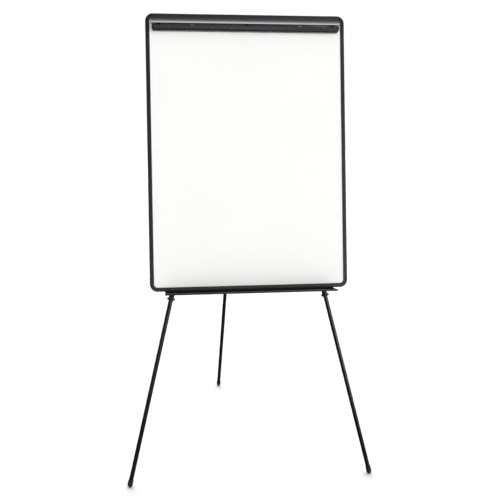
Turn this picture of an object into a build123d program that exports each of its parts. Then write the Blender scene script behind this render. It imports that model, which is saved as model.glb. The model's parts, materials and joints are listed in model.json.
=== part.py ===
from build123d import *
from math import atan2, ceil, cos, degrees, hypot, radians, sin
import os

# Tripod flipchart easel: a framed dry-erase board with a sprung pad clamp along its top
# and a marker tray under its bottom edge, carried by a head with three telescopic legs.
# Millimetres, +Z up. The floor is Z = 0, the origin is the centre of the footprint, and
# the writer stands on the -Y side, so the board faces -Y and leans back towards +Y.
#
# Board frame: X to the right, Y into the board from the frame's front face, Z up the
# board from its bottom edge. Sections of what runs along X are drawn as (out, up), with
# out = -Y, towards the writer.
# Leg frame: pivot at the origin, the leg runs down -Z, the front legs' pivot axis is Y.

# ---------------------------------------------------------------- driving dimensions

# Board and stance
BOARD_WIDTH = 737.0
BOARD_HEIGHT = 1008.0
BOARD_LEAN = 8.0  # degrees back from upright
BOARD_CLEARANCE = 715.0  # floor to the frame's bottom front edge

# Frame rail section
RAIL_FACE = 15.5
RAIL_DEPTH = 15.0
RAIL_WEB = 5.0  # solid outer wall of the channel
RAIL_FRONT_LIP = 2.0
RAIL_BACK_LIP = 3.0
RAIL_FRONT_ROUND = 2.2
RAIL_SMALL_ROUND = 1.4
CORNER_RADIUS = 28.0
CORNER_REACH = 60.0  # along each rail from the outer corner
RAIL_SEAM = 0.3

# Board layers
SURFACE_SHEET = 0.8
BACK_SHEET = 0.6
SHEET_EDGE_GAP = 0.5

# Clamp
HEADER_HALF = 348.5
HEADER_TOP = 1004.0
HEADER_BOTTOM = 969.2
HEADER_ROOT = 3.0  # thickness at the top edge
NOSE_OUT = 16.4
NOSE_FACE = 1.4
HINGE_OUT = 11.6
HINGE_UP = 961.8
HINGE_PIN_R = 1.5
BARREL_R = 4.6
BAR_HALF = 337.5
BAR_BOTTOM = 943.6
BAR_WALL = 2.4
STEP_UPS = (959.6, 952.4)  # each step's facet starts here and slopes out as it goes down
STEP_DEPTH = 1.1
STEP_FACET = 2.2
TAB_XS = (-322.0, 0.0, 322.0)
TAB_WIDTH = 14.0
TAB_R = 3.0
SPRING_XS = (-200.0, 200.0)
SPRING_LENGTH = 12.0
SPRING_WIRE_R = 0.5
NOTCH_R = 3.3
NOTCH_FRONT_UP = 0.5  # the barrel is open above this in each notch, so that the bar can swing up
CAP_LENGTH = 8.0

# Marker tray
TRAY_HALF = 311.0
TRAY_DEPTH = 53.5  # frame front to the centre of the lip
TRAY_DROP = 9.4
TRAY_WALL = 1.8
LIP_R = 3.5
LIP_OVERHANG = 6.5  # the rounded lip ends reach past the trough

# Tripod head
PIVOT_UP = 966.0  # height of the pivots up the board
FRONT_PIVOT_X = 52.0
FRONT_PIVOT_DEPTH = 33.0  # behind the frame's front face
REAR_PIVOT_DEPTH = 45.0
PLATE_THICKNESS = 2.5
BLOCK_BACK = 44.3
BLOCK_R = 14.5
EYE_R = 8.5
TONGUE_THICKNESS = 12.0
PIVOT_PIN_R = 3.0
PIVOT_PLAY = 0.05
EYE_GAP = 0.3
REAR_EAR_WIDTH = 7.0
REAR_EAR_R = 12.5

# Legs
FRONT_FOOT_X = 453.0
REAR_FOOT_BACK = 956.0  # behind the frame's bottom front edge
UPPER_R = 9.525
UPPER_WALL = 1.0
LOWER_R = 8.0
LOWER_WALL = 0.9
LOWER_LENGTH = 930.0
TUBE_START = 17.0  # below the pivot
UPPER_END = 1019.0
PLUG_LENGTH = 40.0
BUSH_LENGTH = 30.0
BUSH_SKIRT = 8.0
BUSH_PLAY = 0.05
NUT_TOP = 1017.0
NUT_BOTTOM = 1029.0
NUT_R = 13.0
NUT_WING = 1.6
FOOT_R = 10.0
FOOT_SLEEVE = 16.0
FOOT_FLAT = 0.4  # height ground off the round end where it meets the floor

# Leg clips on the bottom rail
CLIP_LOW = 1.5
CLIP_HIGH = 14.0
CLIP_BASE = 3.0
CLIP_GAP = 0.5
CLIP_WALL = 2.4

# ---------------------------------------------------------------- derived dimensions

STACK_FRONT = RAIL_FRONT_LIP
STACK_BACK = RAIL_DEPTH - RAIL_BACK_LIP
PLATE_BACK = STACK_BACK + PLATE_THICKNESS
EAR_NEAR = FRONT_PIVOT_DEPTH - TONGUE_THICKNESS / 2 - EYE_GAP

# Legs: the front pair lies in a plane parallel to the board, the rear leg in X = 0
LEAN = radians(BOARD_LEAN)
FOOT_CENTRE_Z = FOOT_R - FOOT_FLAT
FRONT_DROP_Z = FOOT_CENTRE_Z - BOARD_CLEARANCE + FRONT_PIVOT_DEPTH * sin(LEAN)
FRONT_RUN = PIVOT_UP - FRONT_DROP_Z / cos(LEAN)
FRONT_SPREAD = FRONT_FOOT_X - FRONT_PIVOT_X
FRONT_SPLAY = degrees(atan2(FRONT_SPREAD, FRONT_RUN))
FRONT_LENGTH = hypot(FRONT_SPREAD, FRONT_RUN)

REAR_PIVOT_Y = REAR_PIVOT_DEPTH * cos(LEAN) + PIVOT_UP * sin(LEAN)
REAR_PIVOT_Z = BOARD_CLEARANCE + PIVOT_UP * cos(LEAN) - REAR_PIVOT_DEPTH * sin(LEAN)
REAR_RUN_Y = REAR_FOOT_BACK - REAR_PIVOT_Y
REAR_RUN_Z = REAR_PIVOT_Z - FOOT_CENTRE_Z
REAR_ANGLE = degrees(atan2(REAR_RUN_Y, REAR_RUN_Z))
REAR_LENGTH = hypot(REAR_RUN_Y, REAR_RUN_Z)

# The footprint is centred on the origin in Y
FRONT_FOOT_Y = FRONT_PIVOT_DEPTH * cos(LEAN) + FRONT_DROP_Z / cos(LEAN) * sin(LEAN)
BOARD_Y = -(FRONT_FOOT_Y + REAR_FOOT_BACK) / 2

BOARD_PLACE = Location((0, BOARD_Y, BOARD_CLEARANCE), (-BOARD_LEAN, 0, 0))
SECTION_PLANE = Plane(origin=(0, 0, 0), x_dir=(0, -1, 0), z_dir=(-1, 0, 0))
ROUND_AXIS_Y = Rot(90, 0, 0)
ROUND_AXIS_X = Rot(0, 90, 0)

# ---------------------------------------------------------------- shape helpers


def along_x(section, length, centre_x=0.0):
    """Extrude an (out, up) section along X."""
    return Pos(centre_x, 0, 0) * extrude(SECTION_PLANE * section, amount=length / 2, both=True)


def box_between(x_range, y_range, z_range):
    """Box between two corners."""
    sizes = [high - low for low, high in (x_range, y_range, z_range)]
    centre = [(low + high) / 2 for low, high in (x_range, y_range, z_range)]
    return Pos(*centre) * Box(*sizes)


def rod_along_y(radius, y_low, y_high, x=0.0, z=0.0):
    """Cylinder whose axis is parallel to Y."""
    return Pos(x, (y_low + y_high) / 2, z) * ROUND_AXIS_Y * Cylinder(radius, y_high - y_low)


def rod_along_x(radius, x_low, x_high, out=0.0, up=0.0):
    """Cylinder whose axis is parallel to X."""
    return Pos((x_low + x_high) / 2, -out, up) * ROUND_AXIS_X * Cylinder(radius, x_high - x_low)


def rod_along_leg(radius, top, bottom):
    """Cylinder on the leg's axis, between two distances below the pivot."""
    return Pos(0, 0, -(top + bottom) / 2) * Cylinder(radius, bottom - top)


def sleeve(outer_radius, inner_radius, top, bottom):
    """Tube on the leg's axis."""
    return rod_along_leg(outer_radius, top, bottom) - rod_along_leg(inner_radius, top, bottom)


def pan_head_screw(head_r, head_height, shank_r, shank_length):
    """Screw that points along +Y, with its head's seat at Y = 0."""
    head = rod_along_y(head_r, -head_height, 0)
    head = fillet(head.edges().sort_by(Axis.Y)[0], head_height * 0.6)
    return head + rod_along_y(shank_r, 0, shank_length)


def mirrored(part):
    """Copy on the other side of the centre plane."""
    return mirror(part, about=Plane.YZ)


# ---------------------------------------------------------------- board and its frame


def rail_section():
    """Channel section: X across the face from the outer edge, Y into the board."""
    outline = Rectangle(RAIL_FACE, RAIL_DEPTH, align=(Align.MIN, Align.MIN))
    by_x = outline.vertices().sort_by(Axis.X)
    outer_front, outer_back = by_x[:2].sort_by(Axis.Y)
    outline = fillet(outer_front, RAIL_FRONT_ROUND)
    others = [v for v in outline.vertices() if v.X > RAIL_FACE - 0.1 or v.Y > RAIL_DEPTH - 0.1]
    outline = fillet(others, RAIL_SMALL_ROUND)
    groove = Rectangle(RAIL_FACE, STACK_BACK - STACK_FRONT, align=(Align.MIN, Align.MIN))
    return outline - Pos(RAIL_WEB, STACK_FRONT) * groove


def straight_rail(length):
    """Rail with its outer edge on X = 0, running up from Z = 0."""
    return extrude(rail_section(), amount=length)


def frame_corner():
    """Bottom left corner piece: a quarter turn of the channel with two short arms."""
    section = Pos(0, 0, CORNER_RADIUS) * rail_section()
    arm_length = CORNER_REACH - CORNER_RADIUS
    turn = Axis((CORNER_RADIUS, 0, CORNER_RADIUS), (0, -1, 0))
    bend = revolve(section, axis=turn, revolution_arc=90)
    side_arm = extrude(section, amount=arm_length)
    bottom_arm = extrude(section, amount=-arm_length).rotate(turn, 90)
    return Pos(-BOARD_WIDTH / 2, 0, 0) * (bend + side_arm + bottom_arm)


def board_layer(front, back):
    """One full sheet of the board between two depths."""
    inset = RAIL_WEB + SHEET_EDGE_GAP
    width = BOARD_WIDTH - 2 * inset
    height = BOARD_HEIGHT - 2 * inset
    outline = Plane.XZ * RectangleRounded(width, height, CORNER_RADIUS - inset)
    return Pos(0, front, BOARD_HEIGHT / 2) * extrude(outline, amount=front - back)


def make_board():
    """Sheets, rails and corner pieces, in the board frame."""
    core_front = STACK_FRONT + SURFACE_SHEET
    core_back = STACK_BACK - BACK_SHEET
    side_length = BOARD_HEIGHT - 2 * (CORNER_REACH + RAIL_SEAM)
    cross_length = BOARD_WIDTH - 2 * (CORNER_REACH + RAIL_SEAM)
    side_rail = straight_rail(side_length)
    left = Pos(-BOARD_WIDTH / 2, 0, CORNER_REACH + RAIL_SEAM) * side_rail
    cross_rail = Rot(0, 90, 0) * Pos(0, 0, -cross_length / 2) * straight_rail(cross_length)
    top = Pos(0, 0, BOARD_HEIGHT) * cross_rail
    middle = Plane.XY.offset(BOARD_HEIGHT / 2)
    corner = frame_corner()
    upper_corner = mirror(corner, about=middle)
    return {
        "board_surface": board_layer(STACK_FRONT, core_front),
        "board_core": board_layer(core_front, core_back),
        "board_back_sheet": board_layer(core_back, STACK_BACK),
        "frame_rail_left": left,
        "frame_rail_right": mirrored(left),
        "frame_rail_top": top,
        "frame_rail_bottom": mirror(top, about=middle),
        "frame_corner_bottom_left": corner,
        "frame_corner_bottom_right": mirrored(corner),
        "frame_corner_top_left": upper_corner,
        "frame_corner_top_right": mirrored(upper_corner),
    }


# ---------------------------------------------------------------- pad clamp


def clamp_header():
    """Fixed cove moulding over the top rail, with tabs that carry the hinge pin."""
    nose_up = HEADER_BOTTOM + NOSE_FACE
    cove = TangentArc((HEADER_ROOT, HEADER_TOP), (NOSE_OUT, nose_up), tangent=(0, -1))
    under = Polyline(
        (NOSE_OUT, nose_up),
        (NOSE_OUT, HEADER_BOTTOM),
        (0, HEADER_BOTTOM),
        (0, HEADER_TOP),
        (HEADER_ROOT, HEADER_TOP),
    )
    body = along_x(make_face([cove, under]), 2 * HEADER_HALF)
    # The top corners are cut back to follow the frame's rounded corners.
    for side in (-1, 1):
        wedge = Polyline(
            (side * HEADER_HALF, HEADER_TOP - 14),
            (side * (HEADER_HALF - 6), HEADER_TOP),
            (side * HEADER_HALF, HEADER_TOP),
            close=True,
        )
        body -= extrude(Plane.XZ * make_face(wedge), amount=2 * NOSE_OUT, both=True)
    neck_low = HINGE_UP - 2.2
    neck_high = HINGE_UP + 1.8
    for x in TAB_XS:
        span = (x - TAB_WIDTH / 2, x + TAB_WIDTH / 2)
        body += box_between(span, (-3.5, 0), (neck_low, HEADER_BOTTOM))
        body += box_between(span, (-HINGE_OUT, 0), (neck_low, neck_high))
        body += rod_along_x(TAB_R, *span, HINGE_OUT, HINGE_UP)
    return body - rod_along_x(HINGE_PIN_R, -BAR_HALF, BAR_HALF, HINGE_OUT, HINGE_UP)


def bar_section():
    """Front wall hung from the hinge barrel, stepped, with an inward lip at the bottom."""
    front_top = HINGE_OUT + BARREL_R
    wall = Polyline(
        (front_top, HINGE_UP),
        (front_top - 0.8, BAR_BOTTOM + 3.5),
        (front_top - 3.6, BAR_BOTTOM),
        (1.0, BAR_BOTTOM),
        (1.0, BAR_BOTTOM + 2.6),
        (front_top - 5.2, BAR_BOTTOM + 2.6),
        (front_top - 0.8 - BAR_WALL, BAR_BOTTOM + 5.0),
        (front_top - BAR_WALL, HINGE_UP),
        close=True,
    )
    section = make_face(wall) + Pos(HINGE_OUT, HINGE_UP) * Circle(BARREL_R)
    for up in STEP_UPS:
        groove = Polyline(
            (front_top + 1, up + 1.2),
            (front_top + 1, up - STEP_FACET - 1.5),
            (front_top - 0.3, up - STEP_FACET),
            (front_top - 0.3 - STEP_DEPTH, up),
            (front_top - 0.3 - STEP_DEPTH, up + 0.6),
            close=True,
        )
        section -= make_face(groove)
    return section


def clamp_bar():
    """Hinged clamp bar, notched behind for the header's tabs and the springs."""
    bar = along_x(bar_section(), 2 * BAR_HALF)
    bar -= rod_along_x(HINGE_PIN_R + PIVOT_PLAY, -BAR_HALF, BAR_HALF, HINGE_OUT, HINGE_UP)
    notches = [(x, TAB_WIDTH + 1) for x in TAB_XS]
    notches += [(x, SPRING_LENGTH + 2) for x in SPRING_XS]
    for x, width in notches:
        span = (x - width / 2, x + width / 2)
        bar -= rod_along_x(NOTCH_R, *span, HINGE_OUT, HINGE_UP)
        behind = (-HINGE_OUT - 0.5, -HINGE_OUT + BARREL_R + 1)
        bar -= box_between(span, behind, (HINGE_UP - BARREL_R - 0.1, HINGE_UP + BARREL_R + 1))
        above = (-HINGE_OUT - BARREL_R - 1, -HINGE_OUT)
        bar -= box_between(span, above, (HINGE_UP + NOTCH_FRONT_UP, HINGE_UP + BARREL_R + 1))
    return bar


def clamp_end_cap():
    """Right end cap: closes the bar's section, with its lower outer corner cut off."""
    front_top = HINGE_OUT + BARREL_R
    outline = Polyline(
        (front_top, HINGE_UP),
        (front_top - 0.8, BAR_BOTTOM + 3.5),
        (front_top - 3.6, BAR_BOTTOM),
        (-1.4, BAR_BOTTOM),
        (-1.4, BAR_BOTTOM + 3.5),
        (4.0, HINGE_UP - 12.0),
        (HINGE_OUT - BARREL_R, HINGE_UP),
        close=True,
    )
    section = make_face(outline) + Pos(HINGE_OUT, HINGE_UP) * Circle(BARREL_R)
    cap = along_x(section, CAP_LENGTH, BAR_HALF + CAP_LENGTH / 2)
    end = BAR_HALF + CAP_LENGTH
    wedge = Polyline(
        (end, BAR_BOTTOM + 9),
        (end - 6, BAR_BOTTOM),
        (end, BAR_BOTTOM),
        close=True,
    )
    return cap - extrude(Plane.XZ * make_face(wedge), amount=2 * NOSE_OUT, both=True)


def wire(start, end, x):
    """Straight round wire between two (out, up) points in the plane at X = x."""
    path = Line((x, -start[0], start[1]), (x, -end[0], end[1]))
    return sweep(Plane(origin=path @ 0, z_dir=path % 0) * Circle(SPRING_WIRE_R), path)


def clamp_spring(x):
    """Torsion spring round the hinge pin: coil as a sleeve, and its two straight legs."""
    span = (x - SPRING_LENGTH / 2, x + SPRING_LENGTH / 2)
    coil = rod_along_x(TAB_R, *span, HINGE_OUT, HINGE_UP)
    coil -= rod_along_x(HINGE_PIN_R + 0.2, *span, HINGE_OUT, HINGE_UP)
    coil_mean = TAB_R - SPRING_WIRE_R
    upper_start = (HINGE_OUT - 1.3, HINGE_UP + coil_mean - 0.4)
    lower_start = (HINGE_OUT - 0.8, HINGE_UP - coil_mean)
    coil += wire(upper_start, (3.0, HEADER_BOTTOM - 0.6), span[0] + 1)
    coil += wire(lower_start, (HINGE_OUT, HINGE_UP - 11), span[1] - 1)
    return coil


def make_clamp():
    """Header, hinged bar and what joins them, in the board frame."""
    grip = box_between((-BAR_HALF, BAR_HALF), (-1.0, 1.7), (BAR_BOTTOM - 0.4, BAR_BOTTOM + 3.0))
    cap = clamp_end_cap()
    screw = pan_head_screw(3.5, 2.0, 1.75, 18.0)
    screws = [Pos(x, RAIL_DEPTH, 995.0) * Rot(0, 0, 180) * screw for x in (-290, -100, 100, 290)]
    pin_half = BAR_HALF - 1
    return {
        "clamp_header": clamp_header(),
        "clamp_header_screws": Compound(screws),
        "clamp_hinge_pin": rod_along_x(HINGE_PIN_R, -pin_half, pin_half, HINGE_OUT, HINGE_UP),
        "clamp_spring_left": clamp_spring(SPRING_XS[0]),
        "clamp_spring_right": clamp_spring(SPRING_XS[1]),
        "clamp_bar": clamp_bar(),
        "clamp_grip_strip": grip,
        "clamp_end_cap_left": mirrored(cap),
        "clamp_end_cap_right": cap,
    }


# ---------------------------------------------------------------- marker tray


def tray_section():
    """Screw flange under the rail, back wall, trough floor and round front lip."""
    back = -(RAIL_DEPTH - 1)
    floor_up = TRAY_WALL - TRAY_DROP
    flange = Pos(back, -TRAY_WALL) * Rectangle(13, TRAY_WALL, align=(Align.MIN, Align.MIN))
    wall = Pos(back, -TRAY_DROP) * Rectangle(TRAY_WALL, TRAY_DROP, align=(Align.MIN, Align.MIN))
    floor_size = (TRAY_DEPTH - back, floor_up + TRAY_DROP)
    floor = Pos(back, -TRAY_DROP) * Rectangle(*floor_size, align=(Align.MIN, Align.MIN))
    lip = Pos(TRAY_DEPTH, LIP_R - TRAY_DROP) * Circle(LIP_R)
    return flange + wall + floor + lip


def tray_end_cap():
    """Right end wall of the trough, with the round end of the lip beyond it."""
    back = -(RAIL_DEPTH - 1)
    outline = Polyline(
        (back, -TRAY_DROP),
        (TRAY_DEPTH, -TRAY_DROP),
        (TRAY_DEPTH, 2 * LIP_R - TRAY_DROP),
        (-1, -0.2),
        (back, -0.2),
        close=True,
    )
    wall = along_x(make_face(outline), 2.0, TRAY_HALF + 1.0)
    lip_up = LIP_R - TRAY_DROP
    end = rod_along_x(LIP_R, TRAY_HALF, TRAY_HALF + LIP_OVERHANG, TRAY_DEPTH, lip_up)
    end = fillet(end.edges().filter_by(GeomType.CIRCLE).sort_by(Axis.X)[-1], LIP_R * 0.8)
    return wall + end


def make_tray():
    """Tray, its end caps and its screws, in the board frame."""
    cap = tray_end_cap()
    upright_screw = Rot(90, 0, 0) * pan_head_screw(3.5, 2.0, 1.6, 6.4)
    screws = [Pos(x, 7.5, -TRAY_WALL) * upright_screw for x in (-250, 0, 250)]
    return {
        "marker_tray": along_x(tray_section(), 2 * TRAY_HALF),
        "tray_end_cap_left": mirrored(cap),
        "tray_end_cap_right": cap,
        "tray_screws": Compound(screws),
    }


# ---------------------------------------------------------------- tripod head


def leg_pocket(half_width, turns):
    """Space that a leg's tongue sweeps about a pivot on the Y axis, for each turn."""
    length = 2 * half_width
    slot = ROUND_AXIS_Y * Cylinder(EYE_R + EYE_GAP, length)
    slot += Pos(0, 0, -20) * Box(2 * (EYE_R + EYE_GAP), length, 40)
    pocket = slot
    for turn in turns:
        pocket += Rot(0, turn, 0) * slot
    return pocket


def head_block():
    """Moulded block: slots for the front legs, and two ears behind for the rear leg."""
    outline = Plane.XZ * SlotCenterToCenter(2 * FRONT_PIVOT_X, 2 * BLOCK_R)
    block = Pos(0, PLATE_BACK, 0) * extrude(outline, amount=PLATE_BACK - BLOCK_BACK)
    slot_half = TONGUE_THICKNESS / 2 + EYE_GAP
    ear_half = slot_half + REAR_EAR_WIDTH
    ears = rod_along_x(REAR_EAR_R, -ear_half, ear_half, -REAR_PIVOT_DEPTH)
    root = box_between((-ear_half, ear_half), (EAR_NEAR, REAR_PIVOT_DEPTH), (-REAR_EAR_R, REAR_EAR_R))
    block += ears + root
    for side in (-1, 1):
        pocket = leg_pocket(slot_half, [-side * FRONT_SPLAY * step / 2 for step in (1, 2)])
        block -= Pos(side * FRONT_PIVOT_X, FRONT_PIVOT_DEPTH, 0) * pocket
    rear_swing = REAR_ANGLE + BOARD_LEAN
    steps = ceil(rear_swing / 8)
    rear_pocket = leg_pocket(slot_half, [-rear_swing * step / steps for step in range(1, steps + 1)])
    return block - Pos(0, REAR_PIVOT_DEPTH, 0) * Rot(0, 0, 90) * rear_pocket


def make_head():
    """Plate, block, screws and pivot pins, in the board frame."""
    plate_low, plate_high = -40.0, 24.0
    plate = box_between((-75, 75), (STACK_BACK, PLATE_BACK), (plate_low, plate_high))
    plate = fillet(plate.edges().filter_by(Axis.Y), 8.0)
    slot_half = TONGUE_THICKNESS / 2 + EYE_GAP
    ear_half = slot_half + REAR_EAR_WIDTH
    plate_screw = Rot(0, 0, 180) * pan_head_screw(3.8, 2.4, 2.0, 8.0 + PLATE_THICKNESS)
    corners = [(x, z) for x in (-66, 66) for z in (-31, 19)]
    plate_screws = [Pos(x, PLATE_BACK, z) * plate_screw for x, z in corners]
    block_screw = Rot(0, 0, 180) * pan_head_screw(4.5, 3.0, 2.5, BLOCK_BACK - STACK_BACK)
    block_screws = [Pos(x, BLOCK_BACK, 0) * block_screw for x in (-27, 27)]
    pin_tip = PLATE_BACK + 2.5
    pin_head = fillet(rod_along_y(6.0, BLOCK_BACK, BLOCK_BACK + 2.5).edges().sort_by(Axis.Y)[-1], 1.5)
    front_pin = rod_along_y(PIVOT_PIN_R, pin_tip, BLOCK_BACK) + pin_head
    rear_pin = rod_along_x(PIVOT_PIN_R, -ear_half, ear_half, -REAR_PIVOT_DEPTH)
    for side in (-1, 1):
        ends = sorted((side * ear_half, side * (ear_half + 2)))
        rear_pin += rod_along_x(5.5, *ends, -REAR_PIVOT_DEPTH)
    parts = {
        "head_plate": plate,
        "head_block": head_block(),
        "head_plate_screws": Compound(plate_screws),
        "head_block_screws": Compound(block_screws),
        "pivot_pin_left": Pos(-FRONT_PIVOT_X, 0, 0) * front_pin,
        "pivot_pin_right": Pos(FRONT_PIVOT_X, 0, 0) * front_pin,
        "pivot_pin_rear": rear_pin,
    }
    return {name: Pos(0, 0, PIVOT_UP) * part for name, part in parts.items()}


# ---------------------------------------------------------------- leg clips


def leg_clip(leg_place):
    """Right hook that the front leg swings out into, on the bottom rail's back."""
    clip_up = (CLIP_LOW + CLIP_HIGH) / 2
    centre_x = FRONT_PIVOT_X + (PIVOT_UP - clip_up) * FRONT_SPREAD / FRONT_RUN
    base_back = RAIL_DEPTH + CLIP_BASE
    base = box_between((centre_x - 18, centre_x + 14), (RAIL_DEPTH, base_back), (CLIP_LOW, CLIP_HIGH))
    inner = UPPER_R + CLIP_GAP
    outer = inner + CLIP_WALL
    hook = Circle(outer) - Circle(inner)
    keep = Pos(-2, 0) * Rectangle(outer + 2, outer, align=(Align.MIN, Align.MIN))
    wall = Pos(inner, 0) * Rectangle(
        CLIP_WALL, FRONT_PIVOT_DEPTH - base_back + 1, align=(Align.MIN, Align.MAX)
    )
    middle = (PIVOT_UP - clip_up) / cos(radians(FRONT_SPLAY))
    hook = Pos(0, 0, -middle) * extrude(hook & keep, amount=20, both=True)
    wall = Pos(0, 0, -middle) * extrude(wall, amount=20, both=True)
    band = box_between((0, BOARD_WIDTH / 2), (RAIL_DEPTH, BOARD_WIDTH), (CLIP_LOW, CLIP_HIGH))
    return base + (leg_place * (hook + wall) & band), centre_x


def make_clips(leg_place):
    """Both leg clips and their screws, in the board frame."""
    clip, centre_x = leg_clip(leg_place)
    screw = pan_head_screw(3.2, 2.0, 1.6, 9.0)
    seat = RAIL_DEPTH + CLIP_BASE
    up = (CLIP_LOW + CLIP_HIGH) / 2
    xs = (13.5 - centre_x, centre_x - 13.5)
    screws = [Pos(x, seat, up) * Rot(0, 0, 180) * screw for x in xs]
    return {
        "leg_clip_left": mirrored(clip),
        "leg_clip_right": clip,
        "leg_clip_screws": Compound(screws),
    }


# ---------------------------------------------------------------- telescopic legs


def tube_knuckle():
    """Plug in the upper tube's top with a flat tongue and its pivot eye."""
    tongue = ROUND_AXIS_Y * Cylinder(EYE_R, TONGUE_THICKNESS)
    cap_top = TUBE_START - 1.5
    tongue += Pos(0, 0, -cap_top / 2) * Box(2 * EYE_R, TONGUE_THICKNESS, cap_top)
    cap = rod_along_leg(UPPER_R, cap_top, TUBE_START)
    plug = rod_along_leg(UPPER_R - UPPER_WALL, TUBE_START, TUBE_START + PLUG_LENGTH)
    return tongue + cap + plug - rod_along_y(PIVOT_PIN_R + PIVOT_PLAY, -10, 10)


def tube_bush():
    """Split bush in the tube's mouth; the nut squeezes it on to the lower tube."""
    bore = LOWER_R + BUSH_PLAY
    inside = sleeve(UPPER_R - UPPER_WALL, bore, UPPER_END - BUSH_LENGTH, UPPER_END)
    skirt = sleeve(UPPER_R, bore, UPPER_END, UPPER_END + BUSH_SKIRT)
    slit = box_between((0, 2 * NUT_R), (-0.4, 0.4), (-NUT_BOTTOM, -UPPER_END - 1))
    return inside + skirt - slit


def lock_nut():
    """Flared nut over the bush's skirt, fluted for grip, with two small wings."""
    outline = Polyline(
        (11.0, -NUT_TOP),
        (11.2, -NUT_TOP - 3),
        (NUT_R, -NUT_TOP - 6.5),
        (NUT_R, -NUT_BOTTOM + 2),
        (11.6, -NUT_BOTTOM),
        (LOWER_R + 0.15, -NUT_BOTTOM),
        (LOWER_R + 0.15, -UPPER_END - BUSH_SKIRT - 0.2),
        (UPPER_R + 0.09, -UPPER_END - BUSH_SKIRT - 0.2),
        (UPPER_R + 0.09, -NUT_TOP),
        close=True,
    )
    nut = revolve(Plane.XZ * make_face(outline), axis=Axis.Z)
    flutes = PolarLocations(NUT_R + 0.5, 20) * Cylinder(1.0, 8)
    nut -= Pos(0, 0, -NUT_BOTTOM + 4) * Compound(flutes)
    for side in (-1, 1):
        reach = sorted((side * (NUT_R - 2), side * (NUT_R + NUT_WING)))
        nut += box_between(reach, (-2, 2), (-NUT_BOTTOM + 1, -NUT_BOTTOM + 7))
    return nut


def tube_glide(top):
    """Plug in the lower tube's top end; its flange runs inside the upper tube."""
    flange = rod_along_leg(UPPER_R - UPPER_WALL - 0.08, top - 4, top)
    return flange + rod_along_leg(LOWER_R - LOWER_WALL, top, top + 12)


def rubber_foot(centre):
    """Round-ended rubber foot pushed over the lower tube's end."""
    foot = Pos(0, 0, -centre) * Sphere(FOOT_R)
    top_r = FOOT_R - 0.7
    cone = Cone(FOOT_R, top_r, FOOT_SLEEVE, align=(Align.CENTER, Align.CENTER, Align.MIN))
    foot += Pos(0, 0, -centre) * cone
    for height in (5.0, 9.0):
        foot += Pos(0, 0, height - centre) * Torus(FOOT_R - 0.6, 0.8)
    return foot - rod_along_leg(LOWER_R, centre - FOOT_SLEEVE - 1, centre - 1)


def make_leg(name, length):
    """One leg in its own frame; length runs from the pivot to the foot's centre."""
    tube_end = length - 1
    tube_top = tube_end - LOWER_LENGTH
    return {
        f"upper_tube_{name}": sleeve(UPPER_R, UPPER_R - UPPER_WALL, TUBE_START, UPPER_END),
        f"tube_knuckle_{name}": tube_knuckle(),
        f"tube_bush_{name}": tube_bush(),
        f"lock_nut_{name}": lock_nut(),
        f"lower_tube_{name}": sleeve(LOWER_R, LOWER_R - LOWER_WALL, tube_top, tube_end),
        f"tube_glide_{name}": tube_glide(tube_top),
        f"foot_{name}": rubber_foot(length),
    }


# ---------------------------------------------------------------- assembly


def cut_holes(parts, fastener_names, host_names):
    """Drill each host where a fastener passes through it."""
    for host in host_names:
        for fastener in fastener_names:
            parts[host] = parts[host] - parts[fastener]


def drill_board(parts):
    """Holes for every screw and pin in the board assembly."""
    cut_holes(
        parts,
        ["clamp_header_screws"],
        ["clamp_header", "frame_rail_top", "board_surface", "board_core", "board_back_sheet"],
    )
    cut_holes(parts, ["tray_screws"], ["marker_tray", "frame_rail_bottom"])
    cut_holes(parts, ["head_plate_screws"], ["head_plate", "board_back_sheet", "board_core"])
    cut_holes(parts, ["head_block_screws"], ["head_block", "head_plate"])
    cut_holes(parts, ["pivot_pin_left", "pivot_pin_right", "pivot_pin_rear"], ["head_block"])
    cut_holes(
        parts,
        ["leg_clip_screws"],
        ["leg_clip_left", "leg_clip_right", "frame_rail_bottom", "board_back_sheet", "board_core"],
    )


def standing_on_floor(foot):
    """Flatten a foot's round end where it meets the floor."""
    below = box_between((-600, 600), (-700, 700), (-50, 0))
    return foot - below


def make_easel():
    """Every node in the model frame."""
    right_leg = Location((FRONT_PIVOT_X, FRONT_PIVOT_DEPTH, PIVOT_UP), (0, -FRONT_SPLAY, 0))
    left_leg = Location((-FRONT_PIVOT_X, FRONT_PIVOT_DEPTH, PIVOT_UP), (0, FRONT_SPLAY, 0))
    rear_pivot = (0, BOARD_Y + REAR_PIVOT_Y, REAR_PIVOT_Z)
    rear_leg = Location(rear_pivot, (REAR_ANGLE, 0, 0)) * Rot(0, 0, 90)
    board = {**make_board(), **make_clamp(), **make_tray(), **make_head(), **make_clips(right_leg)}
    drill_board(board)
    parts = {name: BOARD_PLACE * part for name, part in board.items()}
    places = {
        "left": (BOARD_PLACE * left_leg, FRONT_LENGTH),
        "right": (BOARD_PLACE * right_leg, FRONT_LENGTH),
        "rear": (rear_leg, REAR_LENGTH),
    }
    for name, (place, length) in places.items():
        for node, part in make_leg(name, length).items():
            parts[node] = place * part
        foot = f"foot_{name}"
        parts[foot] = standing_on_floor(parts[foot])
    return parts


os.makedirs("parts", exist_ok=True)
for node_name, node_part in make_easel().items():
    export_step(node_part, f"parts/{node_name}.step")
print("lengths front", FRONT_LENGTH, "rear", REAR_LENGTH)
print("splay", FRONT_SPLAY, "rear angle", REAR_ANGLE, "board y", BOARD_Y)
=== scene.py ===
"""Looks of a tripod flipchart easel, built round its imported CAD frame.

A framed dry-erase board leans back on a tripod head. A cove header with a sprung, stepped bar
holds a pad along its top, a trough for markers runs under its bottom rail, and three
two-section legs with twist collars and round rubber feet carry it.

Lengths are in millimetres wherever a name or comment doesn't say otherwise, and turn into
metres where a mesh is made. The board's own axes are x to the right, out towards the writer
and up the board from its bottom edge.
"""

import json
import logging
import math
from dataclasses import dataclass
from enum import Enum

import bmesh
import bpy
from mathutils import Matrix, Vector


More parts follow.
